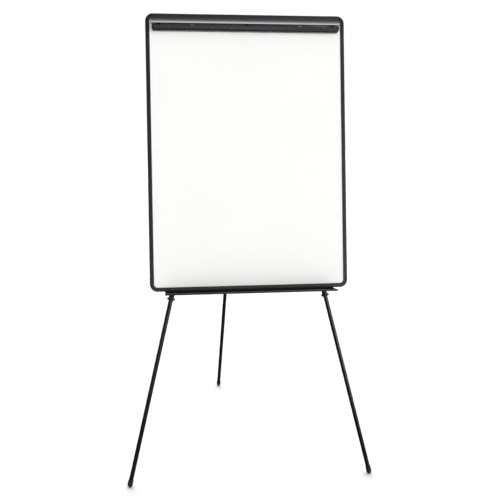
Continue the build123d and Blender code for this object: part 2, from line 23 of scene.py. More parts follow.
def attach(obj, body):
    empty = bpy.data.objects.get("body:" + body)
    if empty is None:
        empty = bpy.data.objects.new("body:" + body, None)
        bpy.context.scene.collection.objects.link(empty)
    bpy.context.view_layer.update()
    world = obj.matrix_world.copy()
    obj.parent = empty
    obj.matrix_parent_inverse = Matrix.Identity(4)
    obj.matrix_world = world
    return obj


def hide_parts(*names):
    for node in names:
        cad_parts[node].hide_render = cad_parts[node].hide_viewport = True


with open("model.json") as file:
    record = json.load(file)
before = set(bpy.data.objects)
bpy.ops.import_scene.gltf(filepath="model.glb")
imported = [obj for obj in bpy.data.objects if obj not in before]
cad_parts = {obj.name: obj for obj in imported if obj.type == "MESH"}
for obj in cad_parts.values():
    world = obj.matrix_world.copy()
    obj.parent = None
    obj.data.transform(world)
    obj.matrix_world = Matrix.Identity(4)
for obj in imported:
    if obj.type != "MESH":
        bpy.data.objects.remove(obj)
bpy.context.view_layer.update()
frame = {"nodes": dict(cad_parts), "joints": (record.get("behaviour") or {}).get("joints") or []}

MM = 0.001
WELD = 0.000002  # metres; closer corners of a copied shape are one corner
LOG = logging.getLogger("easel")

Outline = list[tuple[float, float]]
Values = dict[str, object]


# ---------------------------------------------------------------- names


class Slot(Enum):
    """The record's material slots."""

    WRITING_SURFACE = "writing_surface"
    CORE = "core"
    BACK_LINER = "back_liner"
    FRAME_RAIL = "frame_rail"
    FRAME_CORNER = "frame_corner"
    CLAMP_HEADER = "clamp_header"
    CLAMP_BAR = "clamp_bar"
    GRIP_RUBBER = "grip_rubber"
    SPRING_STEEL = "spring_steel"
    SCREW_STEEL = "screw_steel"
    TRAY = "tray"
    HEAD_PLATE = "head_plate"
    HEAD_PLASTIC = "head_plastic"
    TUBE_UPPER = "tube_upper"
    TUBE_LOWER = "tube_lower"
    LOCK_PLASTIC = "lock_plastic"
    NYLON = "nylon"
    FOOT_RUBBER = "foot_rubber"


class LegName(Enum):
    """The three legs, as the bodies and nodes name them."""

    LEFT = "left"
    RIGHT = "right"
    REAR = "rear"


class Edge(Enum):
    """The four sides of the board's frame."""

    LEFT = "left"
    RIGHT = "right"
    TOP = "top"
    BOTTOM = "bottom"


class Grain(Enum):
    """How a surface's fine relief was made."""

    SPARK_ERODED = "spark_eroded"  # stipple copied from a textured mould
    EXTRUDED = "extruded"  # faint die lines along the length
    ORANGE_PEEL = "orange_peel"  # sprayed or powder coat that flowed as it cured
    FIBRE = "fibre"  # paper fibres
    FLUTED = "fluted"  # corrugated board
    BLASTED = "blasted"  # plated or oiled metal


# ---------------------------------------------------------------- nodes


def add_node(
    tree: bpy.types.NodeTree,
    kind: str,
    inputs: dict | None = None,
    links: dict | None = None,
    **settings: object,
) -> bpy.types.Node:
    """Add a node to a tree, with its settings, socket values and links.

    Args:
        tree: The shader or geometry tree.
        kind: The node's type name.
        inputs: Constant values by socket name or number.
        links: Output sockets to wire in, by socket name or number.
        settings: Properties of the node itself.

    Returns:
        The new node.
    """
    node = tree.nodes.new(kind)
    for name, value in settings.items():
        setattr(node, name, value)
    for key, value in (inputs or {}).items():
        node.inputs[key].default_value = value
    for key, source in (links or {}).items():
        tree.links.new(source, node.inputs[key])
    return node


def srgb(code: str) -> tuple[float, float, float, float]:
    """Turn an sRGB hex colour into linear red, green, blue and alpha.

    Args:
        code: A colour such as "#1b1b1c".

    Returns:
        The linear colour, fully opaque.
    """
    shares = [int(code[at : at + 2], 16) / 255 for at in (1, 3, 5)]
    linear = [s / 12.92 if s <= 0.04045 else ((s + 0.055) / 1.055) ** 2.4 for s in shares]
    return (*linear, 1.0)


# ---------------------------------------------------------------- finishes


@dataclass(frozen=True)
class Finish:
    """One real material with the surface its making gave it."""

    name: str
    light: str  # the two ends of the colour's slow wander over the surface
    dark: str
    roughness: float
    roughness_wander: float
    grain: Grain
    grain_mm: float
    relief_um: float
    patch_mm: float = 70.0
    metallic: float = 0.0
    ior: float = 1.5
    board_axes: bool = False  # the grain's long axis follows the leaning board

    def place(self, tree: bpy.types.NodeTree) -> bpy.types.NodeSocket:
        """Object coordinates, turned to the board's axes where the grain has a direction.

        Args:
            tree: The material's tree.

        Returns:
            The coordinate socket, in metres.
        """
        coords = add_node(tree, "ShaderNodeTexCoord").outputs["Object"]
        lean = math.radians(BoardSpace.lean_deg) if self.board_axes else 0.0
        turned = add_node(tree, "ShaderNodeMapping", {"Rotation": (lean, 0, 0)}, {"Vector": coords})
        return turned.outputs[0]

    def relief(
        self, tree: bpy.types.NodeTree, place: bpy.types.NodeSocket
    ) -> bpy.types.NodeSocket:
        """Height of the fine grain, from 0 to 1.

        Args:
            tree: The material's tree.
            place: Where on the surface, in metres.

        Returns:
            The height socket.
        """
        per_metre = 1000.0 / self.grain_mm
        if self.grain is Grain.SPARK_ERODED:
            cells = add_node(
                tree,
                "ShaderNodeTexVoronoi",
                {"Scale": per_metre, "Smoothness": 0.8},
                {"Vector": place},
                feature="SMOOTH_F1",
            )
            return cells.outputs["Distance"]
        if self.grain is Grain.FLUTED:
            waves = add_node(
                tree,
                "ShaderNodeTexWave",
                {"Scale": per_metre / 6.2832 * 2, "Distortion": 0.4, "Detail": 1.0},
                {"Vector": place},
                wave_type="BANDS",
                bands_direction="X",
            )
            return waves.outputs["Fac"]
        # Directional grains are ordinary noise drawn out along one axis.
        stretch = {
            Grain.EXTRUDED: (0.004, 1.0, 1.0),
            Grain.FIBRE: (0.25, 1.0, 0.5),
        }.get(self.grain, (1.0, 1.0, 1.0))
        drawn = add_node(tree, "ShaderNodeMapping", {"Scale": stretch}, {"Vector": place})
        detail = {Grain.ORANGE_PEEL: 1.0, Grain.BLASTED: 5.0}.get(self.grain, 3.0)
        noise = add_node(
            tree,
            "ShaderNodeTexNoise",
            {"Scale": per_metre, "Detail": detail, "Roughness": 0.55},
            {"Vector": drawn.outputs[0]},
        )
        return noise.outputs["Fac"]

    def build(self) -> bpy.types.Material:
        """Make the material: wandering colour and gloss over a bumped grain.

        Returns:
            The finished material.
        """
        material = bpy.data.materials.new(self.name)
        material.use_nodes = True
        tree = material.node_tree
        tree.nodes.clear()
        place = self.place(tree)
        relief = self.relief(tree, place)
        patches = add_node(
            tree,
            "ShaderNodeTexNoise",
            {"Scale": 1000.0 / self.patch_mm, "Detail": 4.0, "Roughness": 0.6},
            {"Vector": place},
        ).outputs["Fac"]
        spread = add_node(
            tree,
            "ShaderNodeMapRange",
            {"From Min": 0.3, "From Max": 0.7},
            {"Value": patches},
        ).outputs[0]
        # The hollows of the grain are a shade darker than its tops: painted shade where light reaches
        # less, together with dust.
        blend = add_node(
            tree, "ShaderNodeMath", {1: 0.65}, {0: spread, 2: relief}, operation="MULTIPLY_ADD"
        )
        shade = add_node(
            tree,
            "ShaderNodeMapRange",
            {"From Min": 0.2, "From Max": 1.3},
            {"Value": blend.outputs[0]},
        ).outputs[0]
        colour = add_node(
            tree,
            "ShaderNodeMix",
            {6: srgb(self.dark), 7: srgb(self.light)},
            {0: shade},
            data_type="RGBA",
        ).outputs[2]
        gloss = add_node(
            tree,
            "ShaderNodeMapRange",
            {
                "To Min": self.roughness - self.roughness_wander,
                "To Max": self.roughness + self.roughness_wander,
            },
            {"Value": spread},
        ).outputs[0]
        bump = add_node(
            tree,
            "ShaderNodeBump",
            {"Strength": 1.0, "Distance": self.relief_um * 1e-6},
            {"Height": relief},
        )
        shader = add_node(
            tree,
            "ShaderNodeBsdfPrincipled",
            {"Metallic": self.metallic, "IOR": self.ior},
            {"Base Color": colour, "Roughness": gloss, "Normal": bump.outputs[0]},
        )
        add_node(tree, "ShaderNodeOutputMaterial", links={"Surface": shader.outputs[0]})
        return material


# Dry-erase sheet: melamine-faced board, pressed against polished plates. It gives a hard,
# nearly neutral white with a soft sheen and a very faint ripple.
MELAMINE = Finish(
    "melamine_dry_erase_satin_white", "#f6f6f4", "#f3f3f1", 0.34, 0.03, Grain.ORANGE_PEEL,
    grain_mm=3.5, relief_um=4.0, patch_mm=220.0,
)
# Corrugated kraft board, flutes about 7 mm apart, seen only at cut edges.
CORRUGATED = Finish(
    "corrugated_kraft_core", "#a98a63", "#8a6d4a", 0.85, 0.05, Grain.FLUTED,
    grain_mm=7.0, relief_um=300.0, ior=1.45,
)
# Grey paper liner glued on the back: matt, slightly uneven, fibres a couple of millimetres long.
LINER = Finish(
    "grey_paper_liner_calendered", "#aeada9", "#9f9e99", 0.72, 0.06, Grain.FIBRE,
    grain_mm=1.2, relief_um=18.0, patch_mm=90.0, ior=1.45, board_axes=True,
)
# Frame rails: extruded ABS, satin, with faint die lines. Soft grey sheen over near black.
RAIL_ABS = Finish(
    "abs_rail_extruded_satin_black", "#171719", "#0d0d0f", 0.38, 0.05, Grain.EXTRUDED,
    grain_mm=0.9, relief_um=9.0, board_axes=True,
)
# The same rail plastic where the length runs up the board.
RAIL_ABS_UPRIGHT = Finish(
    "abs_rail_extruded_satin_black_upright", "#171719", "#0d0d0f", 0.38, 0.05, Grain.ORANGE_PEEL,
    grain_mm=2.0, relief_um=6.0, board_axes=True,
)
# Corner pieces: injection-moulded ABS from a lightly spark-eroded mould, a touch glossier.
# The stipple is really near 0.3 mm, drawn at 1.4 mm so that it shows.
CORNER_ABS = Finish(
    "abs_corner_moulded_fine_stipple", "#131315", "#0b0b0c", 0.3, 0.05, Grain.SPARK_ERODED,
    grain_mm=1.4, relief_um=14.0,
)
# Header: extruded rigid PVC, glossy, so that its cove runs from black to a bright highlight.
# Real PVC has an index of refraction near 1.54. It is raised here for a stronger highlight.
HEADER_PVC = Finish(
    "pvc_header_extruded_gloss_black", "#0c0c0e", "#070708", 0.2, 0.04, Grain.EXTRUDED,
    grain_mm=1.1, relief_um=5.0, ior=1.75, board_axes=True,
)
# Clamp bar: extruded ABS, satin black. Its index of refraction is raised from the real 1.54,
# so that the steps catch the light.
BAR_ABS = Finish(
    "abs_clamp_bar_extruded_satin_black", "#121214", "#0a0a0b", 0.26, 0.05, Grain.EXTRUDED,
    grain_mm=0.8, relief_um=8.0, ior=1.75, board_axes=True,
)
# End caps: moulded ABS from an etched mould, flatter than the bar between them.
CAP_ABS = Finish(
    "abs_end_cap_moulded_matt_black", "#131315", "#0b0b0c", 0.48, 0.05, Grain.SPARK_ERODED,
    grain_mm=1.2, relief_um=16.0,
)
# Grip strip: soft EPDM rubber, dull and slightly grey.
GRIP_EPDM = Finish(
    "epdm_grip_strip_extruded_dull", "#2b2b2b", "#1d1d1d", 0.75, 0.06, Grain.EXTRUDED,
    grain_mm=0.7, relief_um=14.0, board_axes=True,
)
# Spring and hinge pin: drawn steel wire, oiled, bright grey.
SPRING_WIRE = Finish(
    "music_wire_drawn_oiled", "#9a9a98", "#6d6c6a", 0.28, 0.06, Grain.BLASTED,
    grain_mm=0.6, relief_um=3.0, patch_mm=18.0, metallic=1.0,
)
# Screws and pivot pins: steel, black zinc plated. Dark metal with a warm-grey glint.
BLACK_ZINC = Finish(
    "steel_screw_black_zinc", "#4a4846", "#2f2e2e", 0.34, 0.07, Grain.BLASTED,
    grain_mm=0.5, relief_um=5.0, patch_mm=9.0, metallic=1.0,
)
# Tray: extruded ABS, satin black, its trough a little dusty.
TRAY_ABS = Finish(
    "abs_tray_extruded_satin_black", "#18181a", "#0d0d0f", 0.35, 0.06, Grain.EXTRUDED,
    grain_mm=1.0, relief_um=9.0, board_axes=True,
)
# Head plate: pressed steel with a black polyester powder coat, its peel near 1.5 mm.
PLATE_COAT = Finish(
    "steel_plate_powder_coat_semi_gloss", "#202022", "#151516", 0.38, 0.05, Grain.ORANGE_PEEL,
    grain_mm=1.5, relief_um=14.0,
)
# Head block and leg clips: glass-filled nylon, moulded, matt with a coarse flow stipple.
HEAD_NYLON = Finish(
    "glass_filled_nylon_moulded_matt", "#232324", "#141415", 0.55, 0.06, Grain.SPARK_ERODED,
    grain_mm=1.6, relief_um=20.0, ior=1.53,
)
# Upper tubes: welded steel tube, semi-gloss black powder coat.
TUBE_COAT = Finish(
    "steel_tube_powder_coat_semi_gloss", "#101012", "#08080a", 0.31, 0.04, Grain.ORANGE_PEEL,
    grain_mm=1.8, relief_um=9.0, patch_mm=120.0,
)
# Lower tubes: the same tube, thinner coat, a little glossier where it slides.
SLIDE_COAT = Finish(
    "steel_tube_enamel_gloss_black", "#101012", "#08080a", 0.25, 0.05, Grain.ORANGE_PEEL,
    grain_mm=2.2, relief_um=6.0, patch_mm=90.0,
)
# Twist collars and knuckles: moulded ABS, satin, finely stippled for grip.
COLLAR_ABS = Finish(
    "abs_collar_moulded_satin_black", "#161618", "#0c0c0d", 0.42, 0.05, Grain.SPARK_ERODED,
    grain_mm=0.9, relief_um=14.0,
)
# Bushes and glides: natural nylon, milky and slightly waxy.
NATURAL_NYLON = Finish(
    "nylon_bush_moulded_natural", "#dcd8cc", "#c9c4b6", 0.45, 0.05, Grain.ORANGE_PEEL,
    grain_mm=1.5, relief_um=6.0, ior=1.53,
)
# Feet: moulded natural rubber, dull, with a dusty bloom.
FOOT_RUBBER = Finish(
    "rubber_foot_moulded_dull_black", "#1c1c1b", "#0f0f0f", 0.68, 0.08, Grain.SPARK_ERODED,
    grain_mm=1.0, relief_um=22.0, patch_mm=14.0,
)
# Studio floor: seamless mid-grey paper, lit until it shows white, so that shadows stay soft.
STUDIO_PAPER = Finish(
    "studio_paper_matt_grey", "#b6b6b6", "#b2b2b2", 0.9, 0.02, Grain.FIBRE,
    grain_mm=4.0, relief_um=20.0, patch_mm=600.0,
)


class Paintbox:
    """Builds each finish once and hands out its material."""

    def __init__(self) -> None:
        """Start empty."""
        self.made: dict[str, bpy.types.Material] = {}

    def of(self, finish: Finish) -> bpy.types.Material:
        """The finish's material, built the first time it is asked for."""
        if finish.name not in self.made:
            self.made[finish.name] = finish.build()
        return self.made[finish.name]


PAINTS = Paintbox()


# ---------------------------------------------------------------- spaces


@dataclass(frozen=True)
class BoardSpace:
    """Where the leaning board's own axes stand in the frame."""

    lean_deg: float = 8.0
    clearance: float = 715.0  # floor to the bottom front edge
    front_edge: float = -445.0934  # where that edge stands in the frame's Y

    def matrix(self) -> Matrix:
        """Turn from board millimetres (x, into the board, up) to frame metres."""
        place = Matrix.Translation((0, self.front_edge * MM, self.clearance * MM))
        return place @ Matrix.Rotation(math.radians(-self.lean_deg), 4, "X") @ Matrix.Scale(MM, 4)


@dataclass(frozen=True)
class LegSpace:
    """A leg's own axes: origin at its pivot, the leg down -Z, eye across Y."""

    name: LegName

    def matrix(self) -> Matrix:
        """Turn from leg millimetres to frame metres, as the model's joints place the leg."""
        joints = {j["name"]: j for j in frame["joints"]}
        down = Vector(joints[f"leg_extend_{self.name.value}"]["axis"]).normalized()
        pivot = Vector(joints[f"lock_twist_{self.name.value}"]["pos_m"])
        if self.name is LegName.REAR:
            across = Vector((-1, 0, 0))
        else:
            lean = math.radians(BoardSpace.lean_deg)
            across = Vector((0, math.cos(lean), -math.sin(lean)))
        z = -down
        x = across.cross(z)
        turn = Matrix((x, across, z)).transposed().to_4x4()
        return Matrix.Translation(pivot) @ turn @ Matrix.Scale(MM, 4)


BOARD = BoardSpace()


# ---------------------------------------------------------------- shapes


def smooth(mesh: bpy.types.Mesh, sharp_deg: float = 34.0) -> None:
    """Shade a mesh smooth, with edges past an angle kept sharp."""
    mesh.shade_smooth()
    mesh.set_sharp_from_angle(angle=math.radians(sharp_deg))


def dress(
    name: str,
    mesh: bpy.types.Mesh,
    finish: Finish,
    body: str,
    nodes: tuple[str, ...],
) -> bpy.types.Object:
    """Put a mesh on show as a piece: its finish, its body and the nodes it stands for.

    Args:
        name: The piece's name.
        mesh: Its mesh, in place in the frame, in metres.
        finish: What it is made of.
        body: The body it moves with.
        nodes: The CAD nodes it replaces.

    Returns:
        The piece.
    """
    mesh.name = name
    mesh.materials.clear()
    mesh.materials.append(PAINTS.of(finish))
    piece = bpy.data.objects.new(name, mesh)
    bpy.context.scene.collection.objects.link(piece)
    if nodes:
        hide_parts(*nodes)
    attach(piece, body)
    LOG.info("%s: %d faces on %s", name, len(mesh.polygons), body)
    return piece


def repaint(node: str, finish: Finish) -> None:
    """Give a CAD node that stays on show its finish."""
    shown = frame["nodes"][node]
    shown.data.materials.clear()
    shown.data.materials.append(PAINTS.of(finish))
    LOG.info("%s: CAD shape kept", node)


def eased_copy(
    name: str,
    node: str,
    finish: Finish,
    body: str,
    ease: float,
    sharp_deg: float = 34.0,
) -> bpy.types.Object:
    """A welded copy of a CAD node with its sharp edges eased, as tooling leaves them.

    Args:
        name: The piece's name.
        node: The CAD node it copies and replaces.
        finish: What it is made of.
        body: The body it moves with.
        ease: Width of the edge rounding, in millimetres.
        sharp_deg: Edges past this angle are rounded.

    Returns:
        The piece.
    """
    shape = bmesh.new()
    shape.from_mesh(frame["nodes"][node].data)
    bmesh.ops.remove_doubles(shape, verts=shape.verts, dist=WELD)
    bmesh.ops.dissolve_limit(
        shape, angle_limit=math.radians(0.5), verts=shape.verts, edges=shape.edges
    )
    mesh = bpy.data.meshes.new(name)
    shape.to_mesh(mesh)
    shape.free()
    smooth(mesh, sharp_deg)
    piece = dress(name, mesh, finish, body, (node,))
    rounding = piece.modifiers.new("eased_edges", "BEVEL")
    rounding.width = ease * MM
    rounding.segments = 2
    rounding.limit_method = "ANGLE"
    rounding.angle_limit = math.radians(sharp_deg)
    rounding.use_clamp_overlap = True
    rounding.harden_normals = True
    return piece


def lathe(outline: Outline, closed: bool, segments: int) -> bmesh.types.BMesh:
    """Turn an outline round the leg's axis.

    Args:
        outline: Points as (radius, distance below the pivot), in millimetres.
        closed: Whether the last point joins the first; if not, both ends lie on the axis.
        segments: Steps round the axis.

    Returns:
        The turned shape in leg millimetres, normals outwards.
    """
    shape = bmesh.new()
    rings = []
    for step in range(segments):
        angle = 2 * math.pi * step / segments
        c, s = math.cos(angle), math.sin(angle)
        rings.append([shape.verts.new((r * c, r * s, -below)) for r, below in outline])
    count = len(outline)
    spans = [(i, (i + 1) % count) for i in range(count if closed else count - 1)]
    for step, ring in enumerate(rings):
        following = rings[(step + 1) % segments]
        for low, high in spans:
            shape.faces.new((ring[low], ring[high], following[high], following[low]))
    bmesh.ops.remove_doubles(shape, verts=shape.verts, dist=0.0005)
    bmesh.ops.recalc_face_normals(shape, faces=shape.faces)
    return shape


def to_frame(shape: bmesh.types.BMesh, place: Matrix, name: str) -> bpy.types.Mesh:
    """Move a shape into the frame and free it.

    Args:
        shape: The shape, in the millimetres of its own space.
        place: That space's matrix.
        name: The mesh's name.

    Returns:
        The mesh, in metres.
    """
    bmesh.ops.transform(shape, matrix=place, verts=shape.verts)
    mesh = bpy.data.meshes.new(name)
    shape.to_mesh(mesh)
    shape.free()
    smooth(mesh)
    return mesh


def rounded(corners: Outline, radii: list[float], steps: int = 5) -> Outline:
    """A closed outline with each corner rounded.

    Args:
        corners: The corner points.
        radii: How far back along its sides each corner's rounding starts.
        steps: Points per rounding.

    Returns:
        The rounded outline.
    """
    outline = []
    for at, (corner, reach) in enumerate(zip(corners, radii)):
        here = Vector(corner)
        before = (Vector(corners[at - 1]) - here).normalized()
        after = (Vector(corners[(at + 1) % len(corners)]) - here).normalized()
        if reach <= 0:
            outline.append(tuple(here))
            continue
        start, end = here + before * reach, here + after * reach
        for step in range(steps + 1):
            t = step / steps
            point = start * (1 - t) ** 2 + here * 2 * t * (1 - t) + end * t**2
            outline.append(tuple(point))
    return outline


# ---------------------------------------------------------------- geometry node recipes


class Recipe:
    """A geometry node tree with named inputs that turns a start mesh into a plain mesh."""

    def __init__(self, name: str, inputs: dict[str, tuple[str, object]]) -> None:
        """Open the tree and name its inputs.

        Args:
            name: The tree's name.
            inputs: Socket type and default by input name.
        """
        self.tree = bpy.data.node_groups.new(name, "GeometryNodeTree")
        face = self.tree.interface
        face.new_socket("Start", in_out="INPUT", socket_type="NodeSocketGeometry")
        for label, (kind, default) in inputs.items():
            socket = face.new_socket(label, in_out="INPUT", socket_type=kind)
            if default is not None:
                socket.default_value = default
        face.new_socket("Material", in_out="INPUT", socket_type="NodeSocketMaterial")
        face.new_socket("Made", in_out="OUTPUT", socket_type="NodeSocketGeometry")
        self.given = add_node(self.tree, "NodeGroupInput").outputs

    def add(
        self, kind: str, inputs: dict | None = None, links: dict | None = None, **settings: object
    ) -> bpy.types.Node:
        """Add a node to this tree."""
        return add_node(self.tree, kind, inputs, links, **settings)

    def sum(
        self, operation: str, *terms: bpy.types.NodeSocket | float
    ) -> bpy.types.NodeSocket:
        """Work out one step of arithmetic.

        Args:
            operation: The Math node's operation.
            terms: Its operands, each a socket or a number.

        Returns:
            The result socket.
        """
        fixed = {n: t for n, t in enumerate(terms) if isinstance(t, (int, float))}
        wired = {n: t for n, t in enumerate(terms) if not isinstance(t, (int, float))}
        return self.add("ShaderNodeMath", fixed, wired, operation=operation).outputs[0]

    def close(self, made: bpy.types.NodeSocket, sharp_deg: float = 34.0) -> None:
        """End the tree: real geometry, smooth but for sharp edges, and its material.

        Args:
            made: The geometry so far.
            sharp_deg: Edges past this angle stay sharp.
        """
        real = self.add("GeometryNodeRealizeInstances", links={"Geometry": made})
        angle = self.add("GeometryNodeInputMeshEdgeAngle").outputs["Unsigned Angle"]
        soft = self.sum("LESS_THAN", angle, math.radians(sharp_deg))
        faces = self.add(
            "GeometryNodeSetShadeSmooth",
            {"Shade Smooth": True},
            {"Geometry": real.outputs[0]},
            domain="FACE",
        )
        edges = self.add(
            "GeometryNodeSetShadeSmooth",
            links={"Geometry": faces.outputs[0], "Shade Smooth": soft},
            domain="EDGE",
        )
        coated = self.add(
            "GeometryNodeSetMaterial",
            links={"Geometry": edges.outputs[0], "Material": self.given["Material"]},
        )
        self.add("NodeGroupOutput", links={0: coated.outputs[0]})

    def run(self, start: bpy.types.Mesh, finish: Finish, values: Values) -> bpy.types.Mesh:
        """Run the tree on a start mesh.

        Args:
            start: The mesh it grows from; it is used up.
            finish: The material to set.
            values: Values by input name.

        Returns:
            The plain mesh that it makes.
        """
        host = bpy.data.objects.new(f"{self.tree.name}_host", start)
        bpy.context.scene.collection.objects.link(host)
        modifier = host.modifiers.new(self.tree.name, "NODES")
        modifier.node_group = self.tree
        given = {"Material": PAINTS.of(finish), **values}
        for item in self.tree.interface.items_tree:
            if item.in_out == "INPUT" and item.name in given:
                modifier[item.identifier] = given[item.name]
        graph = bpy.context.evaluated_depsgraph_get()
        made = bpy.data.meshes.new_from_object(host.evaluated_get(graph), depsgraph=graph)
        host.modifiers.remove(modifier)
        bpy.data.objects.remove(host)
        return made


class ScrewRecipe(Recipe):
    """Cross-recess pan-head screws, one at each vertex of the start mesh."""

    def __init__(self) -> None:
        """Build the tree. Each vertex carries its head's outward direction and its turn."""
        metre = "NodeSocketFloat"
        super().__init__(
            "cross_recess_screws",
            {
                "Head Radius": (metre, 0.0035),
                "Head Height": (metre, 0.002),
                "Shank Radius": (metre, 0.0016),
                "Shank Length": (metre, 0.008),
                "Recess Width": (metre, 0.0008),
                "Recess Depth": (metre, 0.0012),
            },
        )
        given = self.given
        head = self.domed_head()
        recess = self.cross(head)
        shank_middle = self.sum("MULTIPLY", given["Shank Length"], -0.5)
        shank = self.add(
            "GeometryNodeMeshCylinder",
            {"Vertices": 20},
            {"Radius": given["Shank Radius"], "Depth": given["Shank Length"]},
        )
        offset = self.add("ShaderNodeCombineXYZ", links={2: shank_middle})
        lowered = self.add(
            "GeometryNodeTransform",
            links={"Geometry": shank.outputs["Mesh"], "Translation": offset.outputs[0]},
        )
        screw = self.add("GeometryNodeJoinGeometry")
        for part in (recess, lowered.outputs[0]):
            self.tree.links.new(part, screw.inputs[0])
        outward = self.add(
            "GeometryNodeInputNamedAttribute", {"Name": "outward"}, data_type="FLOAT_VECTOR"
        )
        turn = self.add("GeometryNodeInputNamedAttribute", {"Name": "turn"}, data_type="FLOAT")
        aligned = self.add(
            "FunctionNodeAlignRotationToVector", links={"Vector": outward.outputs[0]}, axis="Z"
        )
        about = self.add(
            "FunctionNodeAxisAngleToRotation", {"Axis": (0, 0, 1)}, {"Angle": turn.outputs[0]}
        )
        turned = self.add(
            "FunctionNodeRotateRotation",
            links={"Rotation": aligned.outputs[0], "Rotate By": about.outputs[0]},
            rotation_space="LOCAL",
        )
        placed = self.add(
            "GeometryNodeInstanceOnPoints",
            links={
                "Points": given["Start"],
                "Instance": screw.outputs[0],
                "Rotation": turned.outputs[0],
            },
        )
        self.close(placed.outputs[0])

    def domed_head(self) -> bpy.types.NodeSocket:
        """A unit cylinder pressed into a pan head that stands on Z = 0.

        Returns:
            The head's geometry.
        """
        blank = self.add(
            "GeometryNodeMeshCylinder",
            {"Vertices": 32, "Side Segments": 5, "Fill Segments": 5, "Radius": 1.0, "Depth": 1.0},
        )
        at = self.add("GeometryNodeInputPosition").outputs[0]
        x, y, z = self.add("ShaderNodeSeparateXYZ", links={0: at}).outputs
        share = self.sum("ADD", z, 0.5)
        squares = self.sum("MULTIPLY", x, x), self.sum("MULTIPLY", y, y)
        away = self.sum("SQRT", self.sum("ADD", *squares))
        # The side draws in towards the top, and the top falls away towards its rim.
        narrowing = self.sum("MULTIPLY", self.sum("POWER", share, 3.0), 0.16)
        reach = self.sum("MULTIPLY", self.sum("SUBTRACT", 1.0, narrowing), self.given["Head Radius"])
        fall = self.sum("MULTIPLY", self.sum("POWER", away, 3.0), self.sum("MULTIPLY", share, 0.34))
        height = self.sum("MULTIPLY", self.sum("SUBTRACT", share, fall), self.given["Head Height"])
        pressed = self.add(
            "ShaderNodeCombineXYZ",
            links={0: self.sum("MULTIPLY", x, reach), 1: self.sum("MULTIPLY", y, reach), 2: height},
        )
        return self.add(
            "GeometryNodeSetPosition",
            links={"Geometry": blank.outputs["Mesh"], "Position": pressed.outputs[0]},
        ).outputs[0]

    def cross(self, head: bpy.types.NodeSocket) -> bpy.types.NodeSocket:
        """Sink a cross into the head.

        Args:
            head: The plain head.

        Returns:
            The head with its recess.
        """
        given = self.given
        span = self.sum("MULTIPLY", given["Head Radius"], 1.15)
        tall = self.sum("MULTIPLY", given["Recess Depth"], 2.0)
        top = self.add("ShaderNodeCombineXYZ", links={2: given["Head Height"]})
        cut = head
        for long_side, short_side in ((0, 1), (1, 0)):
            size = self.add(
                "ShaderNodeCombineXYZ",
                links={long_side: span, short_side: given["Recess Width"], 2: tall},
            )
            bar = self.add("GeometryNodeMeshCube", links={"Size": size.outputs[0]})
            raised = self.add(
                "GeometryNodeTransform",
                links={"Geometry": bar.outputs["Mesh"], "Translation": top.outputs[0]},
            )
            cut = self.add(
                "GeometryNodeMeshBoolean",
                links={0: cut, 1: raised.outputs[0]},
                operation="DIFFERENCE",
                solver="EXACT",
            ).outputs[0]
        return cut

    def field(
        self,
        name: str,
        seats: list[tuple[float, float, float]],
        outward: tuple[float, float, float],
        place: Matrix,
        finish: Finish,
        values: Values,
    ) -> bpy.types.Mesh:
        """Screws at a list of seats.

        Args:
            name: The mesh's name.
            seats: Seat centres in the space's millimetres.
            outward: The way the heads face, in that space.
            place: That space's matrix.
            finish: The screws' finish.
            values: Sizes by input name, in metres.

        Returns:
            The screws' mesh, in the frame.
        """
        start = bpy.data.meshes.new(name)
        start.from_pydata([place @ Vector(seat) for seat in seats], [], [])
        facing = (place.to_3x3() @ Vector(outward)).normalized()
        start.attributes.new("outward", "FLOAT_VECTOR", "POINT")
        start.attributes.new("turn", "FLOAT", "POINT")
        for at in range(len(seats)):
            start.attributes["outward"].data[at].vector = facing
            # No two screws stop at the same angle.
            start.attributes["turn"].data[at].value = 0.35 + 1.1 * at
        return self.run(start, finish, values)


class ChannelRecipe(Recipe):
    """A section swept along a path whose corners are filleted."""

    def __init__(self) -> None:
        """Build the tree. The start mesh is the path's corner points, joined by edges."""
        super().__init__(
            "swept_channel",
            {
                "Section": ("NodeSocketObject", None),
                "Corner Radius": ("NodeSocketFloat", 0.0),
                "Corner Steps": ("NodeSocketInt", 20),
            },
        )
        given = self.given
        path = self.add("GeometryNodeMeshToCurve", links={"Mesh": given["Start"]})
        bent = self.add(
            "GeometryNodeFilletCurve",
            links={
                "Curve": path.outputs[0],
                "Radius": given["Corner Radius"],
                "Count": given["Corner Steps"],
            },
            mode="POLY",
        )
        level = self.add("GeometryNodeSetCurveNormal", links={"Curve": bent.outputs[0]}, mode="Z_UP")
        section = self.add("GeometryNodeObjectInfo", links={"Object": given["Section"]})
        swept = self.add(
            "GeometryNodeCurveToMesh",
            {"Fill Caps": True},
            {"Curve": level.outputs[0], "Profile Curve": section.outputs["Geometry"]},
        )
        self.close(swept.outputs[0], sharp_deg=40.0)


